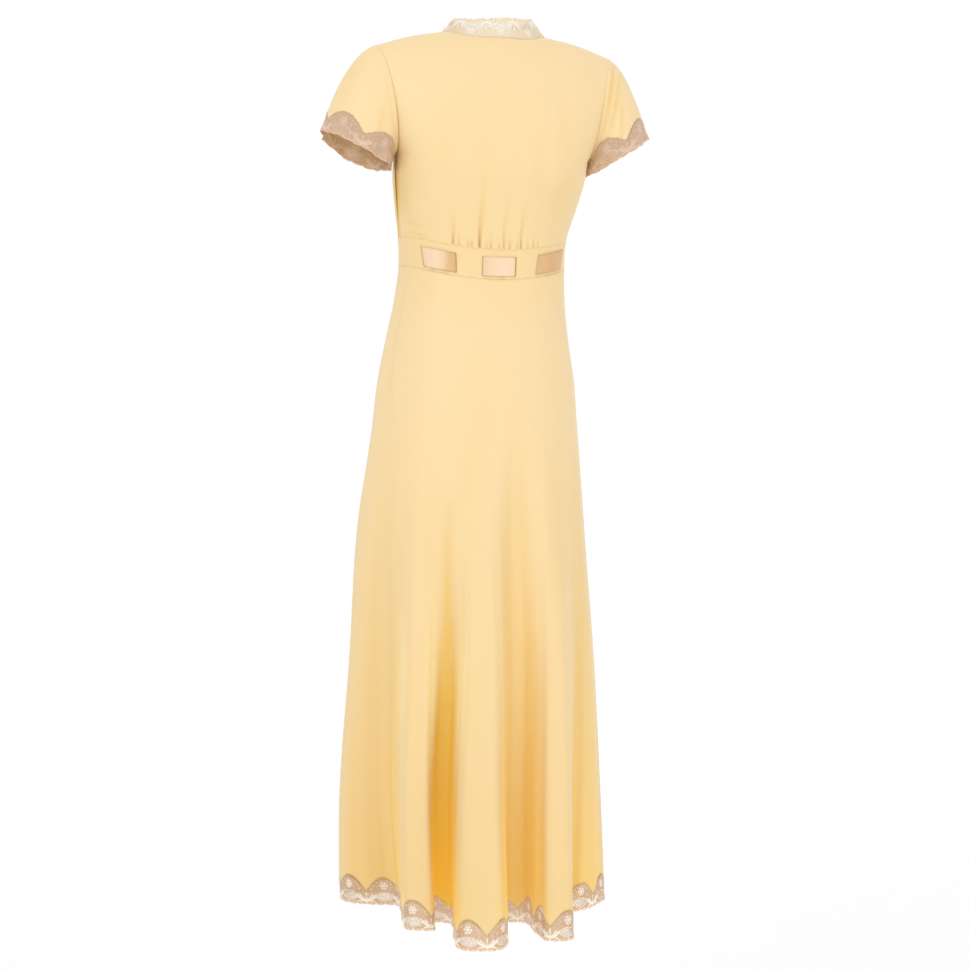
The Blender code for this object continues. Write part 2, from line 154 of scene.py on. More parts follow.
class Wire:
    """One output socket. Arithmetic on it adds Math nodes and gives the new socket."""

    def __init__(self, tree, socket):
        self.tree = tree
        self.socket = socket

    def node(self, kind, inputs, out=0, **settings):
        """Any node: its settings first, then its sockets by place or name, each a value or another wire."""
        made = self.tree.nodes.new(kind)
        for name, value in settings.items():
            setattr(made, name, value)
        for place, value in inputs.items():
            if isinstance(value, Wire):
                self.tree.links.new(value.socket, made.inputs[place])
            else:
                made.inputs[place].default_value = value
        return Wire(self.tree, made.outputs[out])

    def maths(self, kind, *values):
        """A Math node on wires and numbers."""
        return self.node("ShaderNodeMath", dict(enumerate(values)), operation=kind)

    __add__ = __radd__ = operation("ADD")
    __mul__ = __rmul__ = operation("MULTIPLY")
    __sub__ = operation("SUBTRACT")
    __truediv__ = operation("DIVIDE")
    __pow__ = operation("POWER")
    __abs__ = operation("ABSOLUTE")
    sin = operation("SINE")
    cos = operation("COSINE")
    part = operation("FRACT")
    most = operation("MAXIMUM")
    least = operation("MINIMUM")

    def __rsub__(self, other):
        return self.maths("SUBTRACT", other, self)

    def arch(self, times):
        """The sine's size: 0 at every whole number and 1 halfway between, so many times over."""
        return abs((self * math.pi * times).sin())

    def slant(self, other):
        """The long side over two short ones at a right angle."""
        return (self * self + other * other) ** 0.5

    def rises(self, low, high):
        """0 below low, 1 above high, smooth between; falls instead where low is above high."""
        values = {"Value": self, "From Min": low, "From Max": high}
        return self.node("ShaderNodeMapRange", values, interpolation_type="SMOOTHSTEP")

    def near(self, middle, far, close):
        """1 within close of the middle value, 0 beyond far from it, smooth between."""
        return abs(self - middle).rises(far, close)

    def mixed(self, first, second):
        """Blend of two colours, self being the second one's share."""
        values = {"Factor": self, "A": first, "B": second}
        return self.node("ShaderNodeMix", values, out="Result", data_type="RGBA")


def finish(name, colour, roughness, **constants):
    """A new material and the wire that starts its formulas; constants go straight to the shader's sockets."""
    made = bpy.data.materials.new(name)
    made.use_nodes = True
    shader = made.node_tree.nodes["Principled BSDF"]
    shader.inputs["Base Color"].default_value = colour
    shader.inputs["Roughness"].default_value = roughness
    for socket, value in constants.items():
        shader.inputs[socket.replace("_", " ")].default_value = value
    made.diffuse_color = colour
    return made, shader, Wire(made.node_tree, None)


def across_and_up(start):
    """The cloth's own measures from its UV map: along and up, in centimetres."""
    place = start.node("ShaderNodeUVMap", {}, uv_map="cloth")
    split = start.node("ShaderNodeSeparateXYZ", {0: place})
    return place, split, Wire(start.tree, split.socket.node.outputs["Y"])


def kept(start, name):
    """A number that the mesh keeps at every point."""
    return start.node("ShaderNodeAttribute", {}, out="Fac", attribute_name=name)


def joined(wire, shader, socket):
    """Links a wire to one of the shader's sockets."""
    wire.tree.links.new(wire.socket, shader.inputs[socket])


def relief(shader, height, strength, distance):
    """Joins a height to the shader's normal through one Bump node; distance is its scale in metres."""
    values = {"Height": height, "Strength": strength, "Distance": distance}
    joined(height.node("ShaderNodeBump", values), shader, "Normal")


# %% [markdown]
# ## Silk
# Silk this thin passes light on from wall to wall, so the depths of its folds turn from butter to gold
# instead of grey. Light scattered through the walls would be slow and grainy to render, so each piece keeps
# how deep a point lies, and that shade is painted into the colour. In the narrow slots near the hem a faint
# golden glow is painted in as emission, and on the steep walls higher up a paler one. The weave is a fine
# crepe, far smaller than a fold, which only softens the gloss. Along a sewn edge the cloth dips, and a soft
# line of shade is painted there.

# %% Silk finish
BUTTER = (0.788, 0.597, 0.325, 1)
GOLD = (0.700, 0.430, 0.080, 1)
THROUGH_LIGHT = (0.320, 0.210, 0.010, 1)
WALL_LIGHT = (0.120, 0.165, 0.080, 1)
NO_LIGHT = (0, 0, 0, 1)
SEAM_SHADE = (0.72, 0.49, 0.20, 1)


def silk_finish():
    """Butter to gold by painted shade, painted shade in the seams, a crepe grain and a painted glow."""
    made, shader, start = finish("silk", BUTTER, 0.46, Sheen_Weight=0.12, Sheen_Roughness=0.4,
                                 Specular_IOR_Level=0.35, Emission_Strength=1.0)
    place, _, _ = across_and_up(start)
    depth = kept(start, "depth")
    seam = kept(start, "seam")
    # Painted glow: emission stands in for light passed through the silk in deep slots and on lit walls.
    lit_wall = kept(start, "side_light").mixed(NO_LIGHT, WALL_LIGHT)
    joined(kept(start, "through").mixed(lit_wall, THROUGH_LIGHT), shader, "Emission Color")
    cloudy = start.node("ShaderNodeTexNoise", {"Vector": place, "Scale": 0.09, "Detail": 2.0})
    crepe = start.node("ShaderNodeTexNoise", {"Vector": place, "Scale": 9.0, "Detail": 3.0, "Roughness": 0.6})
    # Painted shade: the deeper a point lies in a fold or crease, the more golden its colour.
    colour = (depth + (cloudy - 0.5) * 0.05).mixed(BUTTER, GOLD)
    # Painted shade along the seams.
    seam_shade_share = seam.rises(0.40, 0.04) * 0.16
    joined(seam_shade_share.mixed(colour, SEAM_SHADE), shader, "Base Color")
    joined(crepe * 0.12 + 0.40, shader, "Roughness")
    relief(shader, crepe, 0.12, 0.0004)
    return made


SILK = silk_finish()
print("silk has", len(SILK.node_tree.nodes), "nodes")

# %% [markdown]
# ## Satin ribbon
# Satin shows its colour in bands, pale where the thread faces the light and copper where it turns away.
# This sheen is painted: the ribbon keeps a number along its length that says which, and its fine threads
# run lengthwise.

# %% Satin finish
PALE_PEACH = (0.780, 0.570, 0.375, 1)
COPPER = (0.610, 0.350, 0.135, 1)


def satin_finish():
    """Painted sheen, peach to copper by the ribbon's number, with lengthwise threads and a shaded woven edge.
    """
    made, shader, start = finish("satin_ribbon", PALE_PEACH, 0.28, Sheen_Weight=0.1, Anisotropic=0.5)
    place, _, up = across_and_up(start)
    copper = kept(start, "copper")
    edge = kept(start, "edge")
    threads = start.node("ShaderNodeTexNoise", {"Vector": start.node(
        "ShaderNodeMapping", {"Vector": place, "Scale": (0.8, 26.0, 1.0)}), "Scale": 1.0, "Detail": 2.0})
    # Painted sheen: pale where the satin faces the light, copper where it turns away.
    colour = (copper + (threads - 0.5) * 0.25).mixed(PALE_PEACH, COPPER)
    # A darker woven edge, which also paints the shade along the ribbon's edges.
    selvedge_and_shade = edge.rises(0.14, 0.06) * 0.06
    joined(selvedge_and_shade.mixed(colour, COPPER), shader, "Base Color")
    joined(threads * 0.10 + 0.24, shader, "Roughness")
    relief(shader, threads, 0.15, 0.0003)
    return made


SATIN = satin_finish()
print("satin has", len(SATIN.node_tree.nodes), "nodes")

# %% [markdown]
# ## Lace
# The lace is a stretch galloon. Most of it is a dense tan ground. Under each peak of the scallop sits a small
# rosette above a half-moon of open net, and at each dip a pale garland hangs from one half-moon to the next,
# with a fan of leaves above it. A darker cord runs along the scallops, with short bars below it, and the free
# edge is a row of small lobes. Modelled threads would need millions of faces, so all of it is a mask over two
# numbers, the count of scallops along the edging and the height above its free edge, and follows the mesh
# wherever it bends. The mask is also the alpha, so the net is open.

# %% Lace motifs
MOON_MIDDLE = 1.32
MOON_HALF_TALL = 0.56
ROSETTE_DROP = 1.25
LEAF_FOOT = 0.55
THREADS_EACH_CM = 6.2


def rosette(start, beside, up):
    """Six petals round a small disc, with a thin ring cut out of them; up counts from the middle."""
    ring = beside.slant(up)
    petal = abs((start.maths("ARCTAN2", up, beside) * 3.0).cos())
    drawn = ring.rises(0.66, 0.56) * petal.rises(0.20, 0.50).most(ring.rises(0.30, 0.22))
    return drawn * (1 - ring.near(0.30, 0.06, 0.02) * 0.9)


def garland(todip, up):
    """A broad and a thin line that hang as one parabola from window to window, lowest at the dip."""
    over = up - todip * todip * 0.40
    broad = over.near(0.66, 0.27, 0.18) * todip.rises(1.55, 1.40)
    thin = over.near(1.00, 0.08, 0.04) * todip.rises(1.20, 1.05)
    return broad.most(thin * 0.8)


def fan(start, todip, up, below):
    """Leaves as rays round a foot in the dip, kept off the cord above, and the dark gaps between them."""
    up = up - LEAF_FOOT
    reach = todip.slant(up)
    ray = (start.maths("ARCTAN2", todip, up) * 8.0).cos()
    inside = todip.rises(1.30, 1.10)
    leaves = ray.rises(0.50, 0.85) * reach.rises(0.50, 0.60) * reach.rises(1.55, 1.40)
    gaps = ray.rises(-0.10, -0.60) * reach.rises(0.55, 0.70) * reach.rises(1.50, 1.30)
    return leaves * below.rises(0.24, 0.34) * inside, gaps * inside


def net_threads(across, up, share):
    """Diamond net: two sets of slanting waves, thread where either is lower than the share of thread."""
    one, other = [(across + up * slope).arch(THREADS_EACH_CM) for slope in (0.8, -0.8)]
    return 1 - (one.least(other) - share).rises(-0.06, 0.06)


# %% Lace finish
PALE_THREAD = (0.880, 0.760, 0.630, 1)
PINK_BORDER = (0.660, 0.430, 0.300, 1)
CORD_BROWN = (0.520, 0.330, 0.185, 1)
LACE_LIGHT = (0.130, 0.120, 0.095, 1)


def lace_finish(name, period, dip, peak, tone, ground, net, bright, tooth, open_half, pink, corded):
    """Motifs of one edging: period is a scallop's width, dip and peak its heights, in centimetres; tone is
    the ground's colour; ground and net are how much of the dense and of the open net is thread; bright is
    how pale the motifs stand out; tooth is how deep the small teeth of the scalloped edge are; open_half is
    half an open window's width; pink is how strongly the free edge is tinted; corded is how dark the cord
    along the scallops is."""
    made, shader, start = finish(name, tone, 0.7, Emission_Strength=1.0, Sheen_Weight=0.2,
                                 Sheen_Roughness=0.5, Subsurface_Weight=0.4, Subsurface_Scale=0.004,
                                 Subsurface_Radius=(1.0, 0.6, 0.35))
    place, along, up = across_and_up(start)
    aside = along.part() - 0.5
    beside = aside * period
    todip = (0.5 - abs(aside)) * period
    below = along.arch(1) * (peak - dip) + dip - up

    spread = start.node("ShaderNodeMapping", {"Vector": place, "Scale": (period, 1, 1)})
    flecks = start.node("ShaderNodeTexNoise",
                        {"Vector": spread, "Scale": 2.6, "Detail": 3.0, "Roughness": 0.7})
    moon = (beside / open_half).slant((up - MOON_MIDDLE) / MOON_HALF_TALL) + (flecks - 0.5) * 0.9
    window = moon.rises(1.05, 0.85)
    leaves, gaps = fan(start, todip, up, below)
    lobed = up - (1 - along.arch(4)) * 0.15
    border = lobed.rises(0.50, 0.40)
    dots = (along * math.tau * 8).cos().rises(0.2, 0.7) * lobed.near(0.16, 0.09, 0.05)
    bars = (along * math.tau * 13).cos().rises(0.0, 0.5) * below.near(0.46, 0.15, 0.10)
    bars = bars * todip.rises(0.7, 1.0) * 0.5
    cord = below.rises(0.13, 0.08)

    motif = flecks.rises(0.54, 0.64) * 0.75
    for drawn in (rosette(start, beside, up - (peak - ROSETTE_DROP)), moon.near(1.15, 0.12, 0.05),
                  garland(todip, up), leaves, bars, dots):
        motif = motif.most(drawn)
    solid = motif.most(border).most(cord)
    mesh = net_threads(along * period, up, window * (net - ground) + ground)
    teeth = (along.arch(11) * 0.6 + along.arch(5) * 0.4) * tooth - tooth - 0.03
    joined(solid.most(mesh) * lobed.rises(0.0, 0.03) * (below - teeth).rises(0.0, 0.03), shader, "Alpha")
    colour = (border * (1 - window) * pink).mixed(tone, PINK_BORDER)
    colour = (gaps * 0.45).mixed(colour, CORD_BROWN)
    colour = (motif.most(window * 0.4) * (1 - cord) * bright).mixed(colour, PALE_THREAD)
    joined((cord * corded).mixed(colour, CORD_BROWN), shader, "Base Color")
    # Painted glow: emission where the lace hangs in a deep fold, standing in for light through it.
    joined(kept(start, "through").mixed(NO_LIGHT, LACE_LIGHT), shader, "Emission Color")
    joined(motif * -0.15 + 0.75, shader, "Roughness")
    relief(shader, solid + mesh * 0.3, 0.6, 0.0005)
    return made


# %% The three laces
HEM_PERIOD = 5.6
HEM_DIP = 2.1
HEM_PEAK = 4.3
CUFF_PERIOD = 6.6
CUFF_DIP = 2.0
CUFF_PEAK = 3.75
NECK_PERIOD = 5.2
NECK_EDGE = 3.4
TAN = (0.560, 0.338, 0.192, 1)
PINK_TAN = (0.540, 0.340, 0.235, 1)
CREAM = (0.880, 0.640, 0.430, 1)
HEM_LACE = lace_finish("lace", HEM_PERIOD, HEM_DIP, HEM_PEAK, TAN, ground=0.84, net=0.44, bright=1.0,
                       tooth=0.08, open_half=1.15, pink=0.8, corded=1.0)
CUFF_LACE = lace_finish("lace_cuff", CUFF_PERIOD, CUFF_DIP, CUFF_PEAK, PINK_TAN, ground=0.95, net=0.85,
                        bright=0.28, tooth=0.22, open_half=1.3, pink=0.3, corded=0.8)
NECK_LACE = lace_finish("lace_neck", NECK_PERIOD, NECK_EDGE, NECK_EDGE, CREAM, ground=0.80, net=0.42,
                        bright=1.0, tooth=0.08, open_half=1.8, pink=0.35, corded=0.12)
print("lace has", len(HEM_LACE.node_tree.nodes), "nodes")

# %% [markdown]
# ## The form of the dress
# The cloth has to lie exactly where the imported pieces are, so its surface is worked out from the same
# measures: a row of widths and depths for each level, and smooth curves between them.

# %% Curves and levels
SECTIONS = np.array([
    # height, half width, back depth, front depth, aside, lean, squareness
    (-17.8, 15.25, 10.4, 12.0, -0.9, 2.1, 2.35),
    (-21.5, 15.05, 10.4, 12.4, -0.7, 1.6, 2.25),
    (-25.5, 14.35, 10.1, 11.5, -0.4, 0.9, 2.15),
    (-30.5, 13.35, 9.8, 10.1, 0.0, 0.2, 2.05),
    (-35.5, 13.20, 9.8, 9.9, 0.1, 0.0, 2.00),
    (-40.0, 13.55, 10.3, 10.1, 0.4, 0.0, 2.00),
    (-46.0, 14.45, 11.6, 10.6, 0.8, 0.0, 2.00),
    (-52.5, 15.55, 12.8, 11.3, 1.0, 0.0, 2.00),
    (-60.0, 16.25, 13.7, 12.2, 1.2, 0.0, 2.00),
    (-75.0, 18.10, 15.2, 13.8, 1.8, 0.0, 2.00),
    (-95.0, 19.80, 16.6, 15.5, 1.7, 0.0, 2.00),
    (-118.0, 21.50, 17.8, 17.1, 2.1, 0.0, 2.00),
    (-137.0, 22.10, 18.6, 18.2, 1.9, 0.0, 2.00),
])
BAND_TOP_SIDE = -30.6
BAND_TOP_BACK = -33.2
BAND_TOP_FRONT = -31.4


def hermite(t, start, leave, end, arrive, span=1.0):
    """Cubic curve from start to end as t goes from 0 to 1, leaving and arriving in the given directions."""
    return ((2 * t**3 - 3 * t**2 + 1) * start + (t**3 - 2 * t**2 + t) * span * leave
            + (3 * t**2 - 2 * t**3) * end + (t**3 - t**2) * span * arrive)


def spline(knots, values, at, closed=False):
    """Smooth curve through the values, one row for each knot, with slopes from the neighbouring rows."""
    knots, values, at = [np.asarray(each, float) for each in (knots, values, at)]
    if closed:
        step = np.diff(knots)
        ring = values[:-1]
        slope = (np.roll(ring, -1, 0) - np.roll(ring, 1, 0)) / (step + np.roll(step, 1))[:, None]
        slope = np.vstack([slope, slope[:1]])
    else:
        slope = np.gradient(values, knots, axis=0)
    cell = np.clip(np.searchsorted(knots, at, side="right") - 1, 0, len(knots) - 2)
    width = knots[cell + 1] - knots[cell]
    spread = at.shape + (1,) * (values.ndim - 1)
    t = ((at - knots[cell]) / width).reshape(spread)
    return hermite(t, values[cell], slope[cell], values[cell + 1], slope[cell + 1], width.reshape(spread))


def unit(ways):
    """The same directions, each with a length of 1."""
    return ways / (np.linalg.norm(ways, axis=-1, keepdims=True) + 1e-12)


def section(height):
    """The body's measures at a height: half width, back depth, front depth, aside, lean, squareness."""
    return spline(-SECTIONS[:, 0], SECTIONS[:, 1:], -np.asarray(height, float))


def band_top(angle):
    """Height of the band's upper seam: lower than at the side by the square of the angle's cosine."""
    along = np.cos(np.radians(angle))
    dip = np.where(along > 0, BAND_TOP_BACK - BAND_TOP_SIDE, BAND_TOP_FRONT - BAND_TOP_SIDE)
    return BAND_TOP_SIDE + dip * along**2


def body(angle, height, out=0.0):
    """Points of the body at angles and heights: a squared-off oval for each level, moved outward by 'out'."""
    angle, height = np.broadcast_arrays(np.asarray(angle, float), np.asarray(height, float))
    wide, back, front, aside, lean, square = np.moveaxis(section(height), -1, 0)
    s, c = np.sin(np.radians(angle)), np.cos(np.radians(angle))
    deep = np.where(c > 0, back, front)
    power = 2 / square
    x = wide * np.sign(s) * np.abs(s) ** power
    y = deep * np.sign(c) * np.abs(c) ** power
    outward = unit(np.stack([x / wide**2, y / deep**2], -1))
    return np.stack([x + aside + out * outward[..., 0], y + lean + out * outward[..., 1], height], -1)


print("waist half width", round(float(section(-35.5)[0]), 1), "cm")

# %% [markdown]
# ## Helpers for cloth
# Every cloth is a grid of points, a row for each level and a column for each place along it. A cloth
# simulation would drape it too, but not into these very folds, so every fold and crease is a formula here.
# These helpers give the way a grid faces, the soft troughs of its creases, the distance to its sewn edges,
# where it dips a little into the seam, and its flat size. The last one makes the mesh and thickens it with
# Solidify.

# %% Shaping a grid
def steps(grid, axis):
    """Distances between neighbouring points along one axis, as running totals from its start."""
    gaps = np.linalg.norm(np.diff(grid, axis=axis), axis=-1)
    start = np.zeros_like(np.take(gaps, [0], axis))
    return np.concatenate([start, np.cumsum(gaps, axis)], axis)


def facing(grid, wraps=False):
    """The way each point faces: the cross product of its two directions, turned away from the middle."""
    ahead = np.roll(grid, -1, 1) - np.roll(grid, 1, 1) if wraps else np.gradient(grid, axis=1)
    normal = unit(np.cross(ahead, np.gradient(grid, axis=0)))
    middle = grid.reshape(-1, 3).mean(0)
    return normal * np.sign(((grid - middle) * normal).sum())


def pushed(grid, height, wraps=False):
    """The grid moved outward by a height at every point."""
    return grid + facing(grid, wraps) * height[..., None]


def bell(x):
    """Bell curve: 1 at 0, and nearly nothing beyond 2."""
    return np.exp(-x ** 2)


def troughs(along, up, rows):
    """Height of the cloth over its plain form. A row is a line between two places, a depth and a half width:
    beside the line the trough fades as a bell curve, along it as half a sine wave."""
    x0, y0, x1, y1, deep, wide = [column[:, None, None] for column in np.array(rows, float).T]
    run_x, run_y = x1 - x0, y1 - y0
    long = np.hypot(run_x, run_y)
    place = ((along - x0) * run_x + (up - y0) * run_y) / long**2
    beside = ((along - x0) * run_y - (up - y0) * run_x) / long
    beside = beside + 0.05 * long * np.sin(3 * place)
    fade = np.sin(math.pi * np.clip(place, 0, 1)) ** 1.3
    return -(deep * bell(beside / wide) * fade).sum(0)


def levels(count):
    """Places from 0 to 1 as a column, one for each row of a grid."""
    return np.linspace(0, 1, count)[:, None]


def evened(count, gather):
    """Such places, closer together at both ends by a sine of the given share."""
    t = levels(count)
    return t - gather * np.sin(math.tau * t) / math.tau


def scalloped(phase, dip, peak):
    """Height of a scalloped edging: a sine's size, from the dips at whole numbers to the peaks between."""
    return dip + (peak - dip) * np.abs(np.sin(math.pi * phase))


def pulled_in(grid, **amounts):
    """The grid with the named edges (low, high, first, last) drawn back along their own cloth by amounts."""
    grid = grid.copy()
    views = {"low": (grid[0], grid[1]), "high": (grid[-1], grid[-2]),
             "first": (grid[:, 0], grid[:, 1]), "last": (grid[:, -1], grid[:, -2])}
    moves = {}
    for edge, amount in amounts.items():
        rim, inner = views[edge]
        moves[edge] = unit(inner - rim) * amount
    for edge, move in moves.items():
        views[edge][0][...] += move
    return grid


def seam_distance(grid, edges, wraps=False):
    """How far each point is from the nearest sewn edge of its piece, along the cloth."""
    down = steps(grid, 0)
    ways = {"low": down, "high": down[-1:] - down}
    if not wraps:
        over = steps(grid, 1)
        ways.update(first=over, last=over[:, -1:] - over)
    return np.minimum.reduce([ways[edge] for edge in edges])


# %% Grids into cloth
CM = 0.01
CLOTH_WALL = 0.05


def ringed(grid, wraps):
    """The grid with its first column repeated at the end, where it goes all the way round."""
    return np.concatenate([grid, grid[:, :1]], 1) if wraps else grid


def flat_size(grid, holes, level_rows, usual):
    """Width, length and area of the cloth laid flat: the widest of the first level_rows rows, the usual one
    of the columns (the longest, or the median where some lean), and the sum of the faces."""
    across = grid[:-1, 1:] - grid[:-1, :-1]
    down = grid[1:, :-1] - grid[:-1, :-1]
    area = float(np.linalg.norm(np.cross(across, down), axis=-1)[~holes].sum())
    width = float(steps(grid[:level_rows], 1)[:, -1].max())
    return width, float(usual(steps(grid, 0)[-1])), area


def grid_mesh(name, grid, flat, wraps, holes, numbers):
    """Neighbouring points make the faces, flat is the UV map, and each array of numbers is kept at the
    points as an attribute."""
    rows, columns = grid.shape[:2]
    index = ringed(np.arange(rows * columns).reshape(rows, columns), wraps)
    near, far = slice(None, -1), slice(1, None)
    corners = [(near, near), (near, far), (far, far), (far, near)]
    faces = np.stack([index[corner] for corner in corners], -1).reshape(-1, 4)[~holes.ravel()]
    spots = np.stack([flat[corner] for corner in corners], 2).reshape(-1, 4, 2)[~holes.ravel()]
    mesh = smooth_mesh(name, grid.reshape(-1, 3) * CM, faces)
    mesh.uv_layers.new(name="cloth").data.foreach_set("uv", spots.astype(np.float32).ravel())
    for number, values in numbers.items():
        values = np.broadcast_to(values, (rows, columns)).astype(np.float32).ravel()
        mesh.attributes.new(number, "FLOAT", "POINT").data.foreach_set("value", values)
    return mesh


def cloth(name, grid, look, slot, wraps=False, wall=CLOTH_WALL, flat=None, holes=None, held="hung",
          carried_by=(), level_rows=None, usual=np.max, **numbers):
    """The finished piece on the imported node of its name, from a grid in centimetres. Unless flat is given,
    the UV map is the measure along and up the cloth."""
    ring = ringed(grid, wraps)
    if holes is None:
        holes = np.zeros((ring.shape[0] - 1, ring.shape[1] - 1), bool)
    if flat is None:
        flat = np.stack([steps(grid, 1), steps(grid, 0)], -1)
        if wraps:
            flat = np.concatenate([flat, flat[:, -1:] + (flat[:, -1:] - flat[:, -2:-1])], 1)
    mesh = grid_mesh(name, grid, flat, wraps, holes, numbers)
    mesh.materials.append(look)
    piece = placed(name, mesh)
    thick = piece.modifiers.new("Wall", "SOLIDIFY")
    thick.thickness = wall * CM
    thick.offset = 0.0
    thick.use_even_offset = False
    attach(piece, "root")
    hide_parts(name)
    width, length, area = flat_size(ring, holes, level_rows, usual)
    print(f"{name}: {grid.shape[:2]} points, {width:.1f} by {length:.1f} cm, {area:.0f} square cm")


# %% [markdown]
# ## Bodice
# Each half of the bodice is one piece of silk from the band up to the shoulder seam. A plain oval would leave
# the shoulders square, so above the underarm each column is a smooth curve past two guide points, over the
# shoulder blades. The back is gathered into the band over its middle: most gathers die out within three
# centimetres, and four run far up the back. A gather is a narrow trough, deepest at the seam.

# %% Arches of the upper bodice
UNDERARM = -17.8
YOKE_FOOT_DROP = 3.0
NECK_SIDE = 0.4435
STATIONS = np.array([0.0, NECK_SIDE, 0.72, 1.0])
YOKE_ASIDE = -0.9
BACK_YOKE = np.array([
    # guide low: across, back, up   guide high: across, back, up   seam: across, back, up
    (0.0, 13.0, -11.5, 0.0, 11.9, 0.2, 0.0, 3.9, 2.4),
    (7.1, 12.5, -12.0, 8.0, 11.4, -0.6, 8.3, 3.6, 1.0),
    (11.5, 11.3, -13.0, 13.3, 10.1, -0.9, 13.5, 3.4, 0.0),
    (15.2, 9.3, -17.8, 17.5, 9.1, -3.0, 18.7, 3.2, -1.6),
])
FRONT_YOKE = np.array([
    (0.0, -12.3, -13.0, 0.0, -9.3, 0.5, 0.0, 3.9, 2.4),
    (7.0, -11.4, -12.6, 8.0, -6.8, -1.1, 8.3, 3.6, 1.0),
    (11.3, -9.2, -13.2, 13.2, -5.0, -1.1, 13.5, 3.4, 0.0),
    (15.2, -5.6, -17.8, 17.1, -4.2, -3.3, 18.7, 3.2, -1.6),
])
NECK_CUTS = np.array([
    # station, back, front
    (0.00, 0.790, 0.22),
    (0.11, 0.796, 0.34),
    (0.22, 0.817, 0.50),
    (0.33, 0.868, 0.70),
    (NECK_SIDE, 1.0, 1.00),
])


def yoke_foot(across):
    """Height of the line where the upper bodice begins: highest at the side seam, under the arm."""
    return UNDERARM - YOKE_FOOT_DROP * (1 - np.abs(across) ** 6)


def across_body(side, across, height):
    """Points of the body's back or front at a share of its half width and a height."""
    wide, back, front, aside, lean, square = np.moveaxis(section(height), -1, 0)
    deep = back if side > 0 else front
    y = lean + side * deep * (1 - np.abs(across) ** square) ** (1 / square)
    return np.stack([wide * across + aside, y, height], -1)


def yoke(table, across, rise):
    """Points of the upper bodice: a cubic arch for each place across, cut short where the neck opens. The way
    from the middle is rounded at 0, so that the two halves meet without a ridge."""
    side = np.sign(table[0, 1])
    away = np.abs(across)
    rounded = away + 0.05 * np.exp(-away / 0.05)
    guides = spline(STATIONS, table, rounded).reshape(-1, 3, 3)
    guides[:, :, 0] = spline(STATIONS, table[:, ::3], away) * np.sign(across)[:, None] + YOKE_ASIDE
    foot = across_body(side, across, yoke_foot(across))
    cut = spline(NECK_CUTS[:, 0], NECK_CUTS[:, 1 if side > 0 else 2], away)
    t = (np.asarray(rise)[:, None] * np.where(away < NECK_SIDE, cut, 1.0))[..., None]
    return ((1 - t) ** 3 * foot + 3 * t * (1 - t) ** 2 * guides[:, 0] + 3 * t**2 * (1 - t) * guides[:, 1]
            + t**3 * guides[:, 2])


print("shoulders are", round(2 * float(yoke(BACK_YOKE, np.ones(1), [1.0])[0, 0, 0] - YOKE_ASIDE)), "cm apart")

# %% Bodice back and front
HALF_GAP = 0.015
RIDGE_GAP = 0.035
LEVEL_ROWS = 45
ARCH_ROWS = 56
GATHER_REACH = 1.25
GATHERS = np.array([
    # length, depth, from the wearer's right to the left
    (1.8, 0.22), (2.4, 0.30), (1.6, 0.22), (8.5, 0.40), (2.2, 0.28),
    (3.0, 0.32), (11.5, 0.30), (2.0, 0.28), (3.2, 0.34), (1.8, 0.28),
    (12.6, 0.55), (2.4, 0.32), (1.8, 0.28), (2.6, 0.28), (6.2, 0.46),
])
FRONT_GATHERS = np.array([
    (2.0, 0.12), (3.4, 0.16), (1.8, 0.12), (2.6, 0.16), (1.6, 0.12),
    (2.2, 0.12), (1.6, 0.10), (2.0, 0.12), (1.6, 0.10), (2.4, 0.12),
    (1.8, 0.12), (2.4, 0.14), (4.2, 0.18), (1.8, 0.12), (2.4, 0.14),
])
BACK_CREASES = [
    # across, height, across, height, depth, half width
    (13.0, -29.8, 9.8, -31.4, 0.22, 0.30),
    (13.2, -28.2, 10.8, -29.8, 0.18, 0.35),
    (13.0, -31.2, 10.6, -32.0, 0.16, 0.25),
    (14.4, -16.0, 12.4, -29.5, 0.40, 0.80),
    (13.4, -19.0, 11.0, -26.0, 0.12, 0.90),
    (-12.4, -20.0, -9.0, -29.0, 0.16, 1.20),
    (-7.6, -12.0, -6.2, -27.0, 0.10, 1.10),
    (8.8, -10.0, 7.6, -25.0, 0.08, 1.20),
    (-10.4, -8.0, -11.6, -20.0, 0.10, 1.00),
    (2.6, -13.0, 2.0, -26.0, 0.06, 1.00),
]
FRONT_CREASES = [
    (-12.6, -30.0, -9.4, -31.0, 0.12, 0.35),
    (12.4, -29.4, 9.8, -30.6, 0.10, 0.40),
    (-12.2, -18.6, -8.6, -24.0, 0.14, 0.90),
    (12.4, -18.8, 8.2, -25.0, 0.16, 1.00),
    (6.4, -8.0, 9.0, -18.0, 0.08, 1.20),
    (-6.8, -9.0, -8.8, -18.0, 0.08, 1.20),
]


def gathers(across, lifted, table):
    """Troughs of the gathers by place across and height above the band, wider and shallower upward; soft
    puffs stand between them as a cosine."""
    reach = NECK_SIDE * GATHER_REACH
    count = len(table)
    spot = (2 * np.arange(count) + 1) / count - 1
    uneven = spot + 0.45 / count * np.sin(2.4 * np.arange(count) + 1)
    middle = (reach * uneven)[:, None, None]
    long, deep = table.T[:, :, None, None]
    share = np.clip(1 - lifted / long, 0, 1)
    half = 0.0125 + 0.026 * np.clip(lifted / 9, 0, 1)
    trough = -(deep * share**1.4 * bell((across - middle) / half)).sum(0)
    inside = np.clip((reach - np.abs(across)) / 0.05, 0, 1)
    between = np.interp(across / reach, uneven, spot)
    puff = 0.09 * inside * np.cos(math.pi * count * (between + 1)) * np.clip(1 - lifted / 2.2, 0, 1) ** 2
    return trough + puff


def soft_seam(height):
    """What a seam's shade is pushed back by: nothing under the arm, all of it at the shoulder."""
    return 0.3 * np.clip((height + 9) / 6, 0, 1)


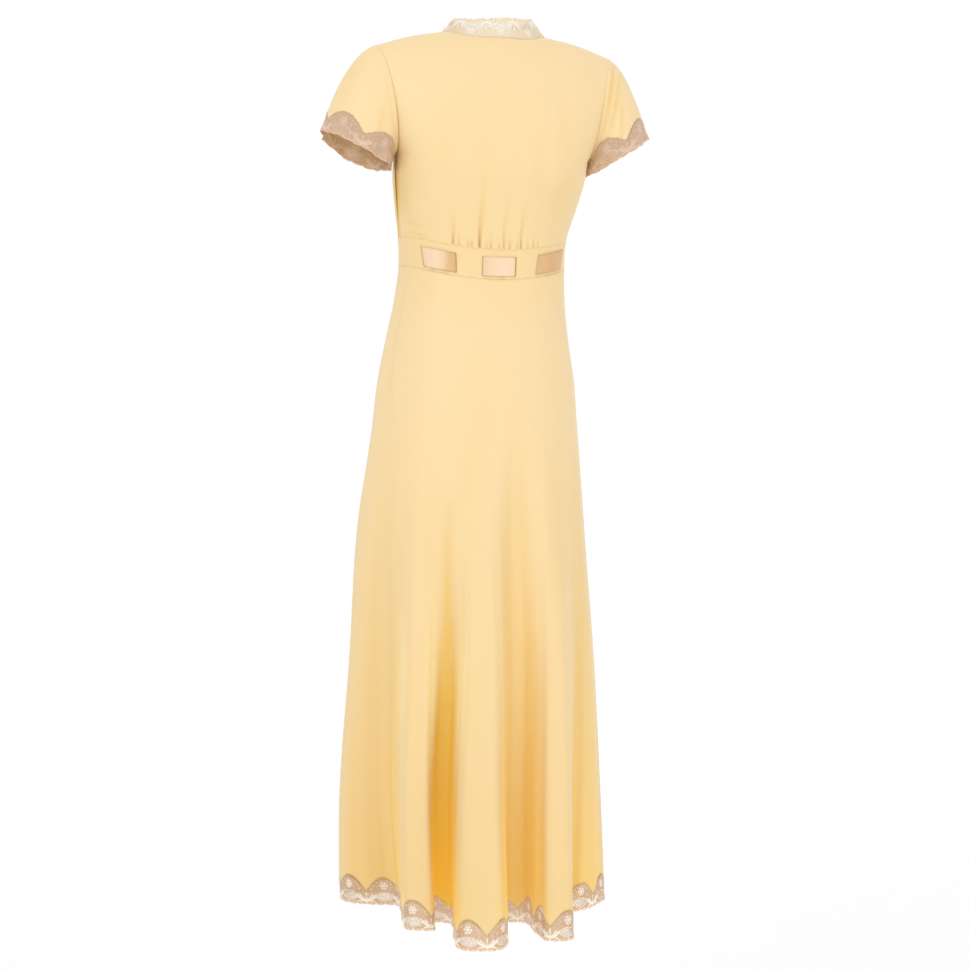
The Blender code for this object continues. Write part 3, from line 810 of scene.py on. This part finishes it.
def bodice(name, table, gather_table, creases):
    """One half of the bodice: level rows from the band to the underarm, then the arches to the shoulder. The
    gathers and creases move it outward, a third as much at a seam, where the cloth dips as a bell curve.
    Painted shade deepens its colour in the troughs and in a strip along the left side seam, and it grows
    more golden towards the band."""
    side = np.sign(table[0, 1])
    inner = np.linspace(-0.6, 0.6, 181)
    outer = np.sin(np.linspace(math.asin(0.6), math.pi / 2, 34))[1:]
    across = np.sort(np.concatenate([-outer, inner, outer, [-NECK_SIDE, NECK_SIDE]]))
    around = np.degrees(np.arcsin(np.clip(across, -1, 1)))
    seam = band_top(around if side > 0 else 180 - around)
    lift = levels(LEVEL_ROWS) ** 1.15
    height = seam + (yoke_foot(across) - seam) * lift
    low = across_body(side, np.broadcast_to(across, height.shape), height)
    grid = np.concatenate([low, yoke(table, across, np.linspace(0, 1, ARCH_ROWS + 1)[1:])])
    up = grid[..., 2]
    swell = gathers(np.broadcast_to(across, up.shape), up - seam, gather_table)
    swell += troughs(grid[..., 0], up, creases)
    sewn = seam_distance(grid, ("low", "high", "first", "last"))
    swell *= np.clip(sewn / 0.5, 0.35, 1)
    formed = pushed(grid, swell - 0.02 * bell(sewn / 0.30))
    formed = pulled_in(formed, low=HALF_GAP, high=RIDGE_GAP, first=HALF_GAP, last=HALF_GAP)
    over = steps(grid, 1)
    # Painted shade: a golden strip along the left side seam below the underarm; troughs are deeper coloured
    # too.
    left_seam_shade = bell((over[:, -1:] - over) / 0.8) * np.clip((-15.5 - up) / 3, 0, 1)
    depth = np.clip(-swell * 0.9, 0, 0.40) + 0.12 * np.clip((-6 - up) / 24, 0, 1) + 0.8 * left_seam_shade
    cloth(name, formed, SILK, "silk", depth=depth, through=0.0, seam=sewn + soft_seam(up),
          carried_by=("waistband",), level_rows=LEVEL_ROWS)


bodice("bodice_back", BACK_YOKE, GATHERS, BACK_CREASES)
bodice("bodice_front", FRONT_YOKE, FRONT_GATHERS, FRONT_CREASES)

# %% [markdown]
# ## Sleeves
# A sleeve is a short tube from the armhole to a flattened ring. A straight tube would stand off the arm
# like a pipe, so each column leaves the armhole along the shoulder and turns down towards the sleeve end.
# The sleeve head is eased into the armhole, which leaves soft dimples along the seam. The lace is cut in
# scallops, so the silk stops at a waved line and the lace goes on from there.

# %% Sleeve and cuff lace
SLEEVE_COLUMNS = 144
CUFF_SCALLOPS = 5
SLEEVE_SILK_LEAST = 0.6
CUFF_BACK = 1.9
CUFF_HALF_FLAT = 5.2
SAG_BEHIND = 0.35
SAG_BEFORE = 0.75
SLEEVE_ENDS = {
    # wearer's side: across, height, half long, tilt, head, scallop start
    1: (20.6, -17.7, 5.98, 26.8, 0.82, -0.19),
    -1: (-21.4, -17.1, 6.00, 31.5, 0.73, -0.15),
}
TUCK = 0.22
LACE_GAP = 0.042
LACE_WALL = 0.04
LACE_LAP = 0.065
LACE_OVER = 0.27
EASE_DIMPLES = 26
CREASE_ROUND = 12
SLEEVE_CREASES = {
    # turn, distance from the armhole, turn, distance, depth, half width; a turn of 1 is the whole way round
    1: [(0.06, 2, 0.10, 11, 0.08, 0.05), (0.10, 1.0, 0.42, 0.9, 0.10, 0.035),
        (0.26, 1, 0.34, 6, 0.16, 0.03), (0.83, 2, 0.80, 10, 0.14, 0.04)],
    -1: [(-0.02, 1.2, 0.40, 0.9, 0.34, 0.036), (0.02, 2.9, 0.38, 2.1, 0.26, 0.045),
         (0.16, 3, 0.30, 7, 0.18, 0.03), (0.07, 3, 0.08, 10, 0.08, 0.04), (0.84, 2, 0.82, 9, 0.14, 0.04)],
}


def sleeve_columns(side, turn):
    """Both ends of every column and the ways it leaves and arrives: from the armhole, a little inside it,
    to a tilted oval that sags."""
    half = np.linspace(0, 1, len(turn) // 2 + 1)
    edge = np.array([float(side)])
    back = yoke(BACK_YOKE, edge, np.linspace(1, 0, len(turn) // 2 + 1))[:, 0]
    front = yoke(FRONT_YOKE, edge, half)[:, 0]
    armhole = np.vstack([back, front[1:-1]])
    across, height, half_long, tilt, head, _ = SLEEVE_ENDS[side]
    tilt = math.radians(tilt)
    long_way = np.array([side * math.cos(tilt), 0, math.sin(tilt)]) * half_long
    deep = np.sin(turn)
    sag = -SAG_BEHIND * np.clip(deep, 0, 1) - SAG_BEFORE * np.clip(-deep, 0, 1) ** 2
    flat_way = np.stack([0 * turn, CUFF_HALF_FLAT * deep, sag], -1)
    end = np.array([across, CUFF_BACK, height]) + np.cos(turn)[:, None] * long_way + flat_way
    span = np.linalg.norm(end - armhole, axis=1)[:, None]
    low = (1 - np.cos(turn)) / 2
    leave = np.stack([side * (head + (0.85 - head) * low), 0.22 * deep, -0.26 - 0.30 * low], -1) * span
    start = armhole - unit(leave) * TUCK
    return start, leave, end, np.array([side * 0.26, 0, -0.93]) * span


def sleeve(side):
    """A short sleeve with its lace: every column is a cubic curve, cut where the scallops begin. The dimples
    are a cosine round the armhole that fades as a bell curve, and the lace ripples as sines that grow with
    the square of the way down."""
    share = np.arange(SLEEVE_COLUMNS) / SLEEVE_COLUMNS
    turn = math.tau * share
    columns = sleeve_columns(side, turn)

    def along(t):
        """Points at a share of every column's way."""
        return hermite(t[..., None], *columns)

    length = steps(along(levels(41) * np.ones(SLEEVE_COLUMNS)), 0)[-1]
    phase = share * CUFF_SCALLOPS + SLEEVE_ENDS[side][-1]
    tall = np.minimum(scalloped(phase, CUFF_DIP, CUFF_PEAK), length - SLEEVE_SILK_LEAST)
    cut = 1 - tall / length

    silk = along(levels(44) ** 0.9 * cut)
    down = steps(silk, 0)
    creases = np.array(SLEEVE_CREASES[side]) * (CREASE_ROUND, 1, CREASE_ROUND, 1, 1, CREASE_ROUND)
    swell = troughs(np.broadcast_to(share, down.shape) * CREASE_ROUND, down, creases)
    dimples = np.clip(np.cos(turn) + 0.35, 0, 1) * np.cos(EASE_DIMPLES * turn)
    swell += 0.05 * dimples * bell(down / 1.1) * np.clip(down / 0.5, 0, 1)
    silk = pushed(silk, swell - 0.05 * bell(down / 0.30), wraps=True)
    silk = pulled_in(silk, high=LACE_GAP)
    where = "left" if side > 0 else "right"
    # Painted shade: the creases are more golden the deeper they are.
    cloth(f"sleeve_{where}", silk, SILK, "silk", wraps=True, depth=np.clip(-swell * 1.4, 0, 0.6), through=0.0,
          seam=down - TUCK + soft_seam(silk[..., 2]), carried_by=("bodice_back", "bodice_front"))

    across = levels(22)
    sewn_on = cut - LACE_OVER / length
    lace = along(sewn_on + (1 - sewn_on) * across)
    flutter = across**2 * (0.33 * np.sin(turn * 8 + side) + 0.16 * np.sin(turn * 15 + 1) * np.sin(turn * 2))
    lace = pushed(lace, flutter + LACE_LAP * bell(across * tall / 0.6), wraps=True)
    up = (tall + LACE_OVER) * (1 - across)
    wide = np.append(phase, phase[0] + CUFF_SCALLOPS)
    flat = np.stack(np.broadcast_arrays(wide, np.column_stack([up, up[:, 0]])), -1)
    cloth(f"cuff_lace_{where}", lace, CUFF_LACE, "lace", wraps=True, wall=LACE_WALL, flat=flat, through=0.0,
          carried_by=(f"sleeve_{where}",))


for wearer_side in (1, -1):
    sleeve(wearer_side)

# %% [markdown]
# ## Skirt
# The hem seen from above is a closed line that swings out to each crest and in to each valley. Pleats cut
# all the way up would be wrong for a flared skirt: its folds shrink upward until, at the hip, only the
# smooth body is left. So a point of the skirt is the body's point plus a growing share of its fold. The silk
# ends at the scallops, and the lace hangs on from there to the hem. Soft ripples and uneven creases lie over
# the folds.

# %% Folds of the hem
HEM_FOLDS = np.array([
    # across, back, half width, hip angle, hem height, height where the fold starts, painted gold shade, painted
    # glow
    (21.8, -4.0, 3.2, 90, -133.4, -60, 0.10, 0.00),
    (14.6, 0.2, 1.5, 62, -134.1, -62, 0.22, 0.20),
    (13.7, 15.6, 2.1, 38, -134.8, -64, 0.80, 1.00),
    (8.1, 6.9, 1.3, 23, -135.8, -72, 1.12, 1.00),
    (5.8, 21.8, 3.5, 8, -137.2, -60, 0.60, 1.00),
    (-2.8, 9.4, 1.4, -10, -135.6, -55, 0.20, 0.62),
    (-6.5, 20.5, 2.2, -31, -136.7, -60, 0.34, 0.45),
    (-12.4, 6.6, 1.5, -56, -135.3, -62, 0.32, 0.40),
    (-19.7, 1.4, 3.0, -90, -134.5, -62, 0.40, 0.40),
    (-13.4, -6.4, 1.5, -112, -134.6, -60, 0.50, 0.40),
    (-14.2, -15.4, 2.6, -134, -134.6, -62, 0.70, 0.70),
    (-6.4, -9.6, 1.6, -157, -134.2, -66, 0.80, 0.90),
    (-0.6, -19.8, 3.2, -179, -134.0, -60, 0.80, 0.90),
    (5.8, -9.4, 1.6, -202, -133.8, -64, 0.80, 0.90),
    (13.6, -15.4, 2.6, -225, -133.6, -62, 0.60, 0.50),
    (14.4, -8.2, 1.5, -248, -133.4, -60, 0.40, 0.20),
])
FOLD_ROUNDING = 0.42
HEM_POINTS = 4000
HEM_SMOOTHING = (181, 181, 181, 31, 31, 31)


def round_hem():
    """The folded hem as a closed dense curve through three points of each fold, and what it carries: hip
    angles, hem heights, fold starts, how far in a place is from its crest (0) to its valley (1), and how
    much painted golden shade and painted glow that valley gets."""
    centre = HEM_FOLDS[:, :2]
    before, after = np.roll(centre, 1, 0), np.roll(centre, -1, 0)
    axis = unit(centre - (before + after) / 2)
    along = after - before
    along = unit(along - (along * axis).sum(1, keepdims=True) * axis)
    half = HEM_FOLDS[:, 2:3]
    points = np.stack([centre - along * half - axis * half * FOLD_ROUNDING, centre,
                       centre + along * half - axis * half * FOLD_ROUNDING], 1).reshape(-1, 2)
    points = np.roll(points, -1, 0)
    loop = np.vstack([points, points[:1]])
    chord = np.concatenate([[0], np.cumsum(np.linalg.norm(np.diff(loop, axis=0), axis=1) ** 0.75)])
    dense = np.linspace(0, chord[-1], HEM_POINTS + 1)
    curve = spline(chord, loop, dense, closed=True)
    length = np.concatenate([[0], np.cumsum(np.linalg.norm(np.diff(curve, axis=0), axis=1))])
    marks = np.interp(np.append(chord[:-1:3], chord[-1]), dense, length)
    table = np.column_stack([HEM_FOLDS[:, 3:6], np.arange(len(HEM_FOLDS)) % 2, HEM_FOLDS[:, 6:]])
    whole_turn = np.array([360, 0, 0, 0, 0, 0])
    table = np.vstack([table, table[:1] - whole_turn])
    carried = np.stack([np.interp(length, marks, column) for column in table.T], -1)
    wide = np.vstack([carried[:-1] + whole_turn, carried, carried[1:] - whole_turn])
    smooth = [np.convolve(column, np.ones(soft) / soft, "same")
              for column, soft in zip(wide.T, HEM_SMOOTHING)]
    return curve, length, np.stack(smooth, -1)[HEM_POINTS:2 * HEM_POINTS + 1]


print("hem is", round(round_hem()[1][-1]), "cm round")

# %% Skirt and hem lace
BAND_TALL = 4.3
FOLD_GROWTH = 1.35
SKIRT_ROWS = 126
SCALLOPS_EACH_PANEL = 20
SCALLOP_COLUMNS = 14
CM_EACH_DEGREE = 0.28
SKIRT_CREASES = {
    # angle, height, angle, height, depth, half width
    "back": [
        (74, -35.5, 62, -62, 0.20, 0.7), (66, -35.2, 40, -41, 0.12, 0.8), (-70, -40, -58, -52, 0.10, 1.2),
        (30, -58, 22, -98, 0.12, 1.6), (44, -66, 40, -100, 0.12, 1.3), (4, -52, 10, -84, 0.14, 1.5),
        (-18, -60, -14, -104, 0.12, 1.4), (-42, -58, -38, -92, 0.14, 1.6), (62, -70, 60, -118, 0.16, 1.5),
        (-66, -74, -64, -120, 0.12, 1.4), (-24, -92, -22, -126, 0.10, 0.9), (16, -90, 17, -128, 0.12, 1.1),
    ],
    "front": [
        (104, -38, 118, -50, 0.12, 1.0), (260, -42, 248, -54, 0.12, 0.9), (150, -58, 156, -96, 0.14, 1.6),
        (188, -52, 192, -88, 0.12, 1.4), (220, -60, 224, -104, 0.14, 1.5), (128, -70, 130, -112, 0.12, 1.3),
        (242, -66, 244, -110, 0.12, 1.4), (172, -86, 173, -126, 0.10, 1.0),
    ],
}


def skirt(which):
    """Silk panel and hem lace of one half of the skirt: the body plus a share of the hem's offset from it
    that grows as a power of the way down. Small ripples are sines that grow with the folds. The painted
    shade (depth) rises from a fold's wall to its valley, over more of the fold further down, and over least
    a third of the way down a golden valley. The painted glow on a wall is a bell curve across the fold
    times one down it."""
    curve, length, carried = round_hem()
    side_seam = np.interp(90, -carried[:, 0], length)
    first, last = (0.0, side_seam) if which == "back" else (side_seam, length[-1])
    walk = np.linspace(first, last, SCALLOPS_EACH_PANEL * SCALLOP_COLUMNS + 1)
    hem = np.stack([np.interp(walk, length, column) for column in curve.T], -1)
    angle, hem_height, starts, inward, golden, glow = [np.interp(walk, length, each) for each in carried.T]
    offset = hem - body(angle, hem_height)[:, :2]
    waist = band_top(angle) - BAND_TALL
    phase = np.arange(len(walk)) / SCALLOP_COLUMNS
    lace_tall = scalloped(phase, HEM_DIP, HEM_PEAK)
    silk_end = hem_height + lace_tall

    def at(height):
        """Points at a height for every column, and how far the folds have grown there."""
        points = body(angle, height)
        grown = np.clip((starts - height) / (starts - hem_height), 0, 1) ** FOLD_GROWTH
        points[..., :2] += grown[..., None] * offset
        return points, grown

    silk, grown = at(waist + (silk_end - waist) * evened(SKIRT_ROWS, 0.35))
    turned = np.broadcast_to(angle % 360 if which == "front" else angle, grown.shape)
    creases = np.array(SKIRT_CREASES[which]) * (CM_EACH_DEGREE, 1, CM_EACH_DEGREE, 1, 1, 1)
    swell = troughs(turned * CM_EACH_DEGREE, silk[..., 2], creases)
    swell += grown * (0.10 * np.sin(walk / 1.15 + 1.3) + 0.07 * np.sin(walk / 0.71) * np.sin(walk / 6.1))
    sewn = seam_distance(silk, ("low", "first", "last"))
    swell *= np.clip(sewn / 1.5, 0, 1)
    silk = pushed(silk, swell - 0.03 * bell(sewn / 0.30))
    silk = pulled_in(silk, low=HALF_GAP, high=LACE_GAP, first=HALF_GAP, last=HALF_GAP)
    # Painted shade: how far over each fold the golden valley colour reaches, narrower a third of the way down.
    narrow = 0.75 * np.clip(golden, 0, 1) ** 2 * grown**0.5 * (1 - grown)
    shade = np.clip((inward - 0.60 + 0.56 * grown**0.4 - narrow) / (0.42 - 0.18 * grown), 0, 1)
    shade = shade ** (2.1 - 0.8 * grown + 2 * narrow)
    # Painted glow: emission on the steep walls of the golden folds.
    side_light = bell((inward - 0.42) / 0.22) * bell((grown - 0.38) / 0.17)
    below_hip = np.clip((-45 - silk[..., 2]) / 85, 0, 1)
    above_hip = np.clip((silk[..., 2] + 46) / 10, 0, 1)
    # Painted shade in valleys and creases; also more golden downward from the hip and just under the band.
    depth = shade * golden * grown**0.42 + np.clip(-swell, 0, 1) * 0.6 + below_hip * 0.29 + above_hip * 0.12
    cloth(f"skirt_{which}", silk, SILK, "silk", depth=np.clip(depth, 0, 1), through=shade * grown**1.4 * glow,
          side_light=side_light * np.clip(golden * 1.5 - 0.5, 0, 1),
          seam=seam_distance(silk, ("first", "last")), carried_by=("waistband",))

    across = levels(20)
    over = silk_end + LACE_OVER
    lace, _ = at(over + (hem_height - over) * across)
    flutter = 0.12 * across**2 * np.sin(walk / 0.9)
    lace = pushed(lace, flutter + LACE_LAP * bell(across * lace_tall / 0.5))
    lace = pulled_in(lace, first=HALF_GAP, last=HALF_GAP)
    flat = np.stack(np.broadcast_arrays(phase, (lace_tall + LACE_OVER) * (1 - across)), -1)
    # Painted glow for the hem lace in the deeper, golden valleys.
    lit = np.clip(inward * 1.5 - 0.3, 0, 1) * np.clip(glow * 2 - 0.3, 0, 1)
    cloth(f"hem_lace_{which}", lace, HEM_LACE, "lace", wall=LACE_WALL, flat=flat, through=lit,
          carried_by=(f"skirt_{which}",))


for half in ("back", "front"):
    skirt(half)

# %% [markdown]
# ## Band and ribbon
# The band is a raised waist seam of silk with upright slits. The ribbon lies on its outside between every
# second pair of slits and inside for the rest, so three windows of satin show behind and three in front. A
# painted window would have no thickness, so the slits are real: faces left out of the band's grid. The worn
# ribbon pulls its outer slits aslant.

# %% Band and ribbon
WINDOWS = ((-61.0, -30.3), (-12.2, 10.0), (28.8, 55.0))
SLIT_LEANS = np.array([-2.5, -1.2, 0.0, 0.0, 0.4, 1.8])
SLITS = np.array([slit + turn for turn in (0, 180) for window in WINDOWS for slit in window])
SLIT_HALF_ANGLE = 0.5
BAND_TUCK = 0.2
BAND_BELOW_WINDOW = 0.28
WINDOW_TALL = 3.0
WINDOW_FROM_ROW, WINDOW_TO_ROW, LAST_BAND_ROW = 5, 18, 25
RIBBON_TALL = 2.95
RIBBON_CLEAR = 0.11
RIBBON_BULGE = 0.09
RIBBON_TURN = 0.45
COPPER_SHARE = np.array([
    # angle, share of copper in the painted sheen, from the wearer's right to the left
    (-61, 1.0), (-52, 0.90), (-44, 0.95), (-34, 0.80), (-30, 0.9), (-12.3, 0.9), (-11, 0.10), (-4, 0.02),
    (4, 0.05), (8, 0.22), (10, 0.35), (28.8, 1.0), (34, 0.85), (37, 0.40), (42, 0.06), (51, 0.02), (55, 0.25),
])


def round_band(extra, step):
    """Angles round the band, about a step apart, with places beside every slit among them."""
    stops = np.sort(np.concatenate([SLITS + d for d in extra]))
    stops = np.append(stops, stops[0] + 360)
    return np.concatenate([np.linspace(low, high, max(1, round((high - low) / step)), endpoint=False)
                           for low, high in zip(stops[:-1], stops[1:])])


def from_slits(angle):
    """How far each angle is past each slit, from -180 to 180."""
    return (angle[:, None] - SLITS + 180) % 360 - 180


def leaning(angle, share):
    """Angles moved near each slit by its lean, times how high in the window a row is: -1 to 1."""
    return angle + share * (bell(from_slits(angle) / 5) * np.tile(SLIT_LEANS, 2)).sum(1)


def waistband():
    """The slit band: a grid round the waist whose faces are left out at the slits. It puckers as a sine round
    the waist, which fades away from the seams. Painted shade lies along its upper seam and beside the slits."""
    angle = round_band((-SLIT_HALF_ANGLE, SLIT_HALF_ANGLE), 1.3)
    window_low = BAND_TALL - BAND_BELOW_WINDOW
    window_high = window_low - WINDOW_TALL
    drops = np.interp(np.arange(LAST_BAND_ROW + 1), (0, WINDOW_FROM_ROW, WINDOW_TO_ROW, LAST_BAND_ROW),
                      (BAND_TALL + BAND_TUCK, window_low, window_high, -BAND_TUCK))
    leaned = leaning(angle, np.clip((window_low - drops) / WINDOW_TALL * 2 - 1, -1, 1)[:, None])
    grid = body(leaned, band_top(leaned) - drops[:, None])
    sewn = seam_distance(grid, ("low", "high"), wraps=True)
    shaded = seam_distance(grid, ("high",), wraps=True) - BAND_TUCK
    pucker = 0.04 * np.sin(np.radians(angle) * 37) * bell(sewn / 0.9)
    grid = pushed(grid, pucker * np.clip(sewn / 0.5, 0, 1) - 0.04 * bell(sewn / 0.28), wraps=True)
    middle = (angle + np.append(angle[1:], angle[0] + 360)) / 2
    holes = np.zeros((len(drops) - 1, len(angle)), bool)
    holes[WINDOW_FROM_ROW:WINDOW_TO_ROW] = np.abs(from_slits(middle)).min(1) < SLIT_HALF_ANGLE
    # Painted shade beside the slits, fading within a few degrees of each.
    slit_shade_reach = np.clip((np.abs(from_slits(angle)).min(1) - SLIT_HALF_ANGLE) * 0.25, 0, 1)
    beside = np.where((drops[:, None] < window_low + 0.2) & (drops[:, None] > window_high - 0.2), slit_shade_reach, 1.0)
    cloth("waistband", grid, SILK, "silk", wraps=True, holes=holes, depth=0.16, through=0.0,
          seam=np.minimum(shaded, beside), usual=np.median, carried_by=("bodice_back", "bodice_front"))


def ribbon():
    """The satin: outside the band in the windows, inside between them. Where it shows it is crowned as half
    a sine from edge to edge, and bulges with the distance from the slits."""
    angle = round_band((-RIBBON_TURN, -0.15, 0.15, RIBBON_TURN), 0.8)
    turned = (angle + 180) % 180
    turned = np.where(turned > 90, turned - 180, turned)
    shown = np.any([(turned > low) & (turned < high) for low, high in WINDOWS], 0)
    away = np.abs(from_slits(angle)).min(1)
    step = np.where(shown, 1.0, -1.0) * np.clip(away / RIBBON_TURN, 0, 1)
    bulge = np.where(shown, RIBBON_BULGE * np.clip((away - RIBBON_TURN) / 8, 0, 1), 0)
    up = levels(15)
    leaned = leaning(angle, 2 * up - 1)
    middle = band_top(leaned) - (BAND_TALL - BAND_BELOW_WINDOW - WINDOW_TALL / 2)
    crown = np.where(shown, 0.04 * np.sin(math.pi * up), 0)
    grid = body(leaned, middle + (up - 0.5) * RIBBON_TALL, step * RIBBON_CLEAR + bulge + crown)
    half_turn = np.where(np.cos(np.radians(angle)) > 0, turned, -turned)
    cloth("ribbon", grid, SATIN, "satin_ribbon", wraps=True, copper=np.interp(half_turn, *COPPER_SHARE.T),
          edge=np.minimum(up, 1 - up) * RIBBON_TALL, usual=np.median, held="laid", carried_by=("waistband",))


waistband()
ribbon()

# %% [markdown]
# ## Lace at the neck
# The same kind of lace stands up round the neck and runs down both sides of the V. It is sewn in by its
# straight edge, and its picots are the free one. A strip pulled straight up would stand off the neck, so each
# place has its own rise: inward behind, and along the V in front.

# %% Neck lace
NECK_GAP = -0.06
V_GAP = 0.13
NECK_MOTIFS = 14
NECK_MOTIF_TALL = 3.15
NECK_RIGHT_LIFT = 0.7
NECK_RISE = np.array([
    # place along the half ring, across, back, up
    (0.00, 0.0, -0.8, 3.20),
    (0.11, -0.8, -0.9, 3.02),
    (0.22, -1.5, -0.9, 2.52),
    (0.38, -2.6, -0.2, 2.10),
    (0.60, -2.9, 0.0, 1.50),
    (0.80, -2.1, 0.6, 2.60),
    (1.00, 0.0, 2.3, 6.20),
])


def neck_lace():
    """A ring of rises set on the neck seam, from the middle back over the left side to the V, mirrored. It
    waves as a sine that grows with the square of the height."""
    inside = np.linspace(0, NECK_SIDE, 61)
    back = yoke(BACK_YOKE, inside, [1.0])[0]
    front = yoke(FRONT_YOKE, inside[::-1], [1.0])[0]
    half = np.vstack([back, front[1:]])
    gone = steps(half[None], 1)[0]
    place = gone / gone[-1]
    rise = spline(NECK_RISE[:, 0], NECK_RISE[:, 1:], place)
    rise[0, 0] = rise[-1, 0] = 0
    foot = half + unit(rise) * (NECK_GAP + V_GAP * place[:, None] ** 2)
    up = levels(16)
    left = foot + up[:, None] * rise
    right = left[:, -2:0:-1] * np.array([-1, 1, 1]) + np.array([2 * YOKE_ASIDE, 0, 0])
    right[..., 2] += up * NECK_RIGHT_LIFT * np.sin(math.pi * place[-2:0:-1]) ** 0.6
    grid = np.concatenate([left, right], 1)
    share = np.concatenate([place, 2 - place[-2::-1]]) / 2
    wave = 0.05 * np.sin(share[:-1] * math.tau * 23) * up**2
    grid = pushed(grid, wave, wraps=True)
    tall = np.minimum(np.linalg.norm(rise, axis=1), NECK_MOTIF_TALL)
    tall = np.concatenate([tall, tall[-2::-1]])
    flat = np.stack(np.broadcast_arrays(share * NECK_MOTIFS + 0.5, tall * (1 - up)), -1)
    cloth("neck_lace", grid, NECK_LACE, "lace", wraps=True, wall=LACE_WALL, flat=flat, through=0.0,
          carried_by=("bodice_back", "bodice_front"))


neck_lace()
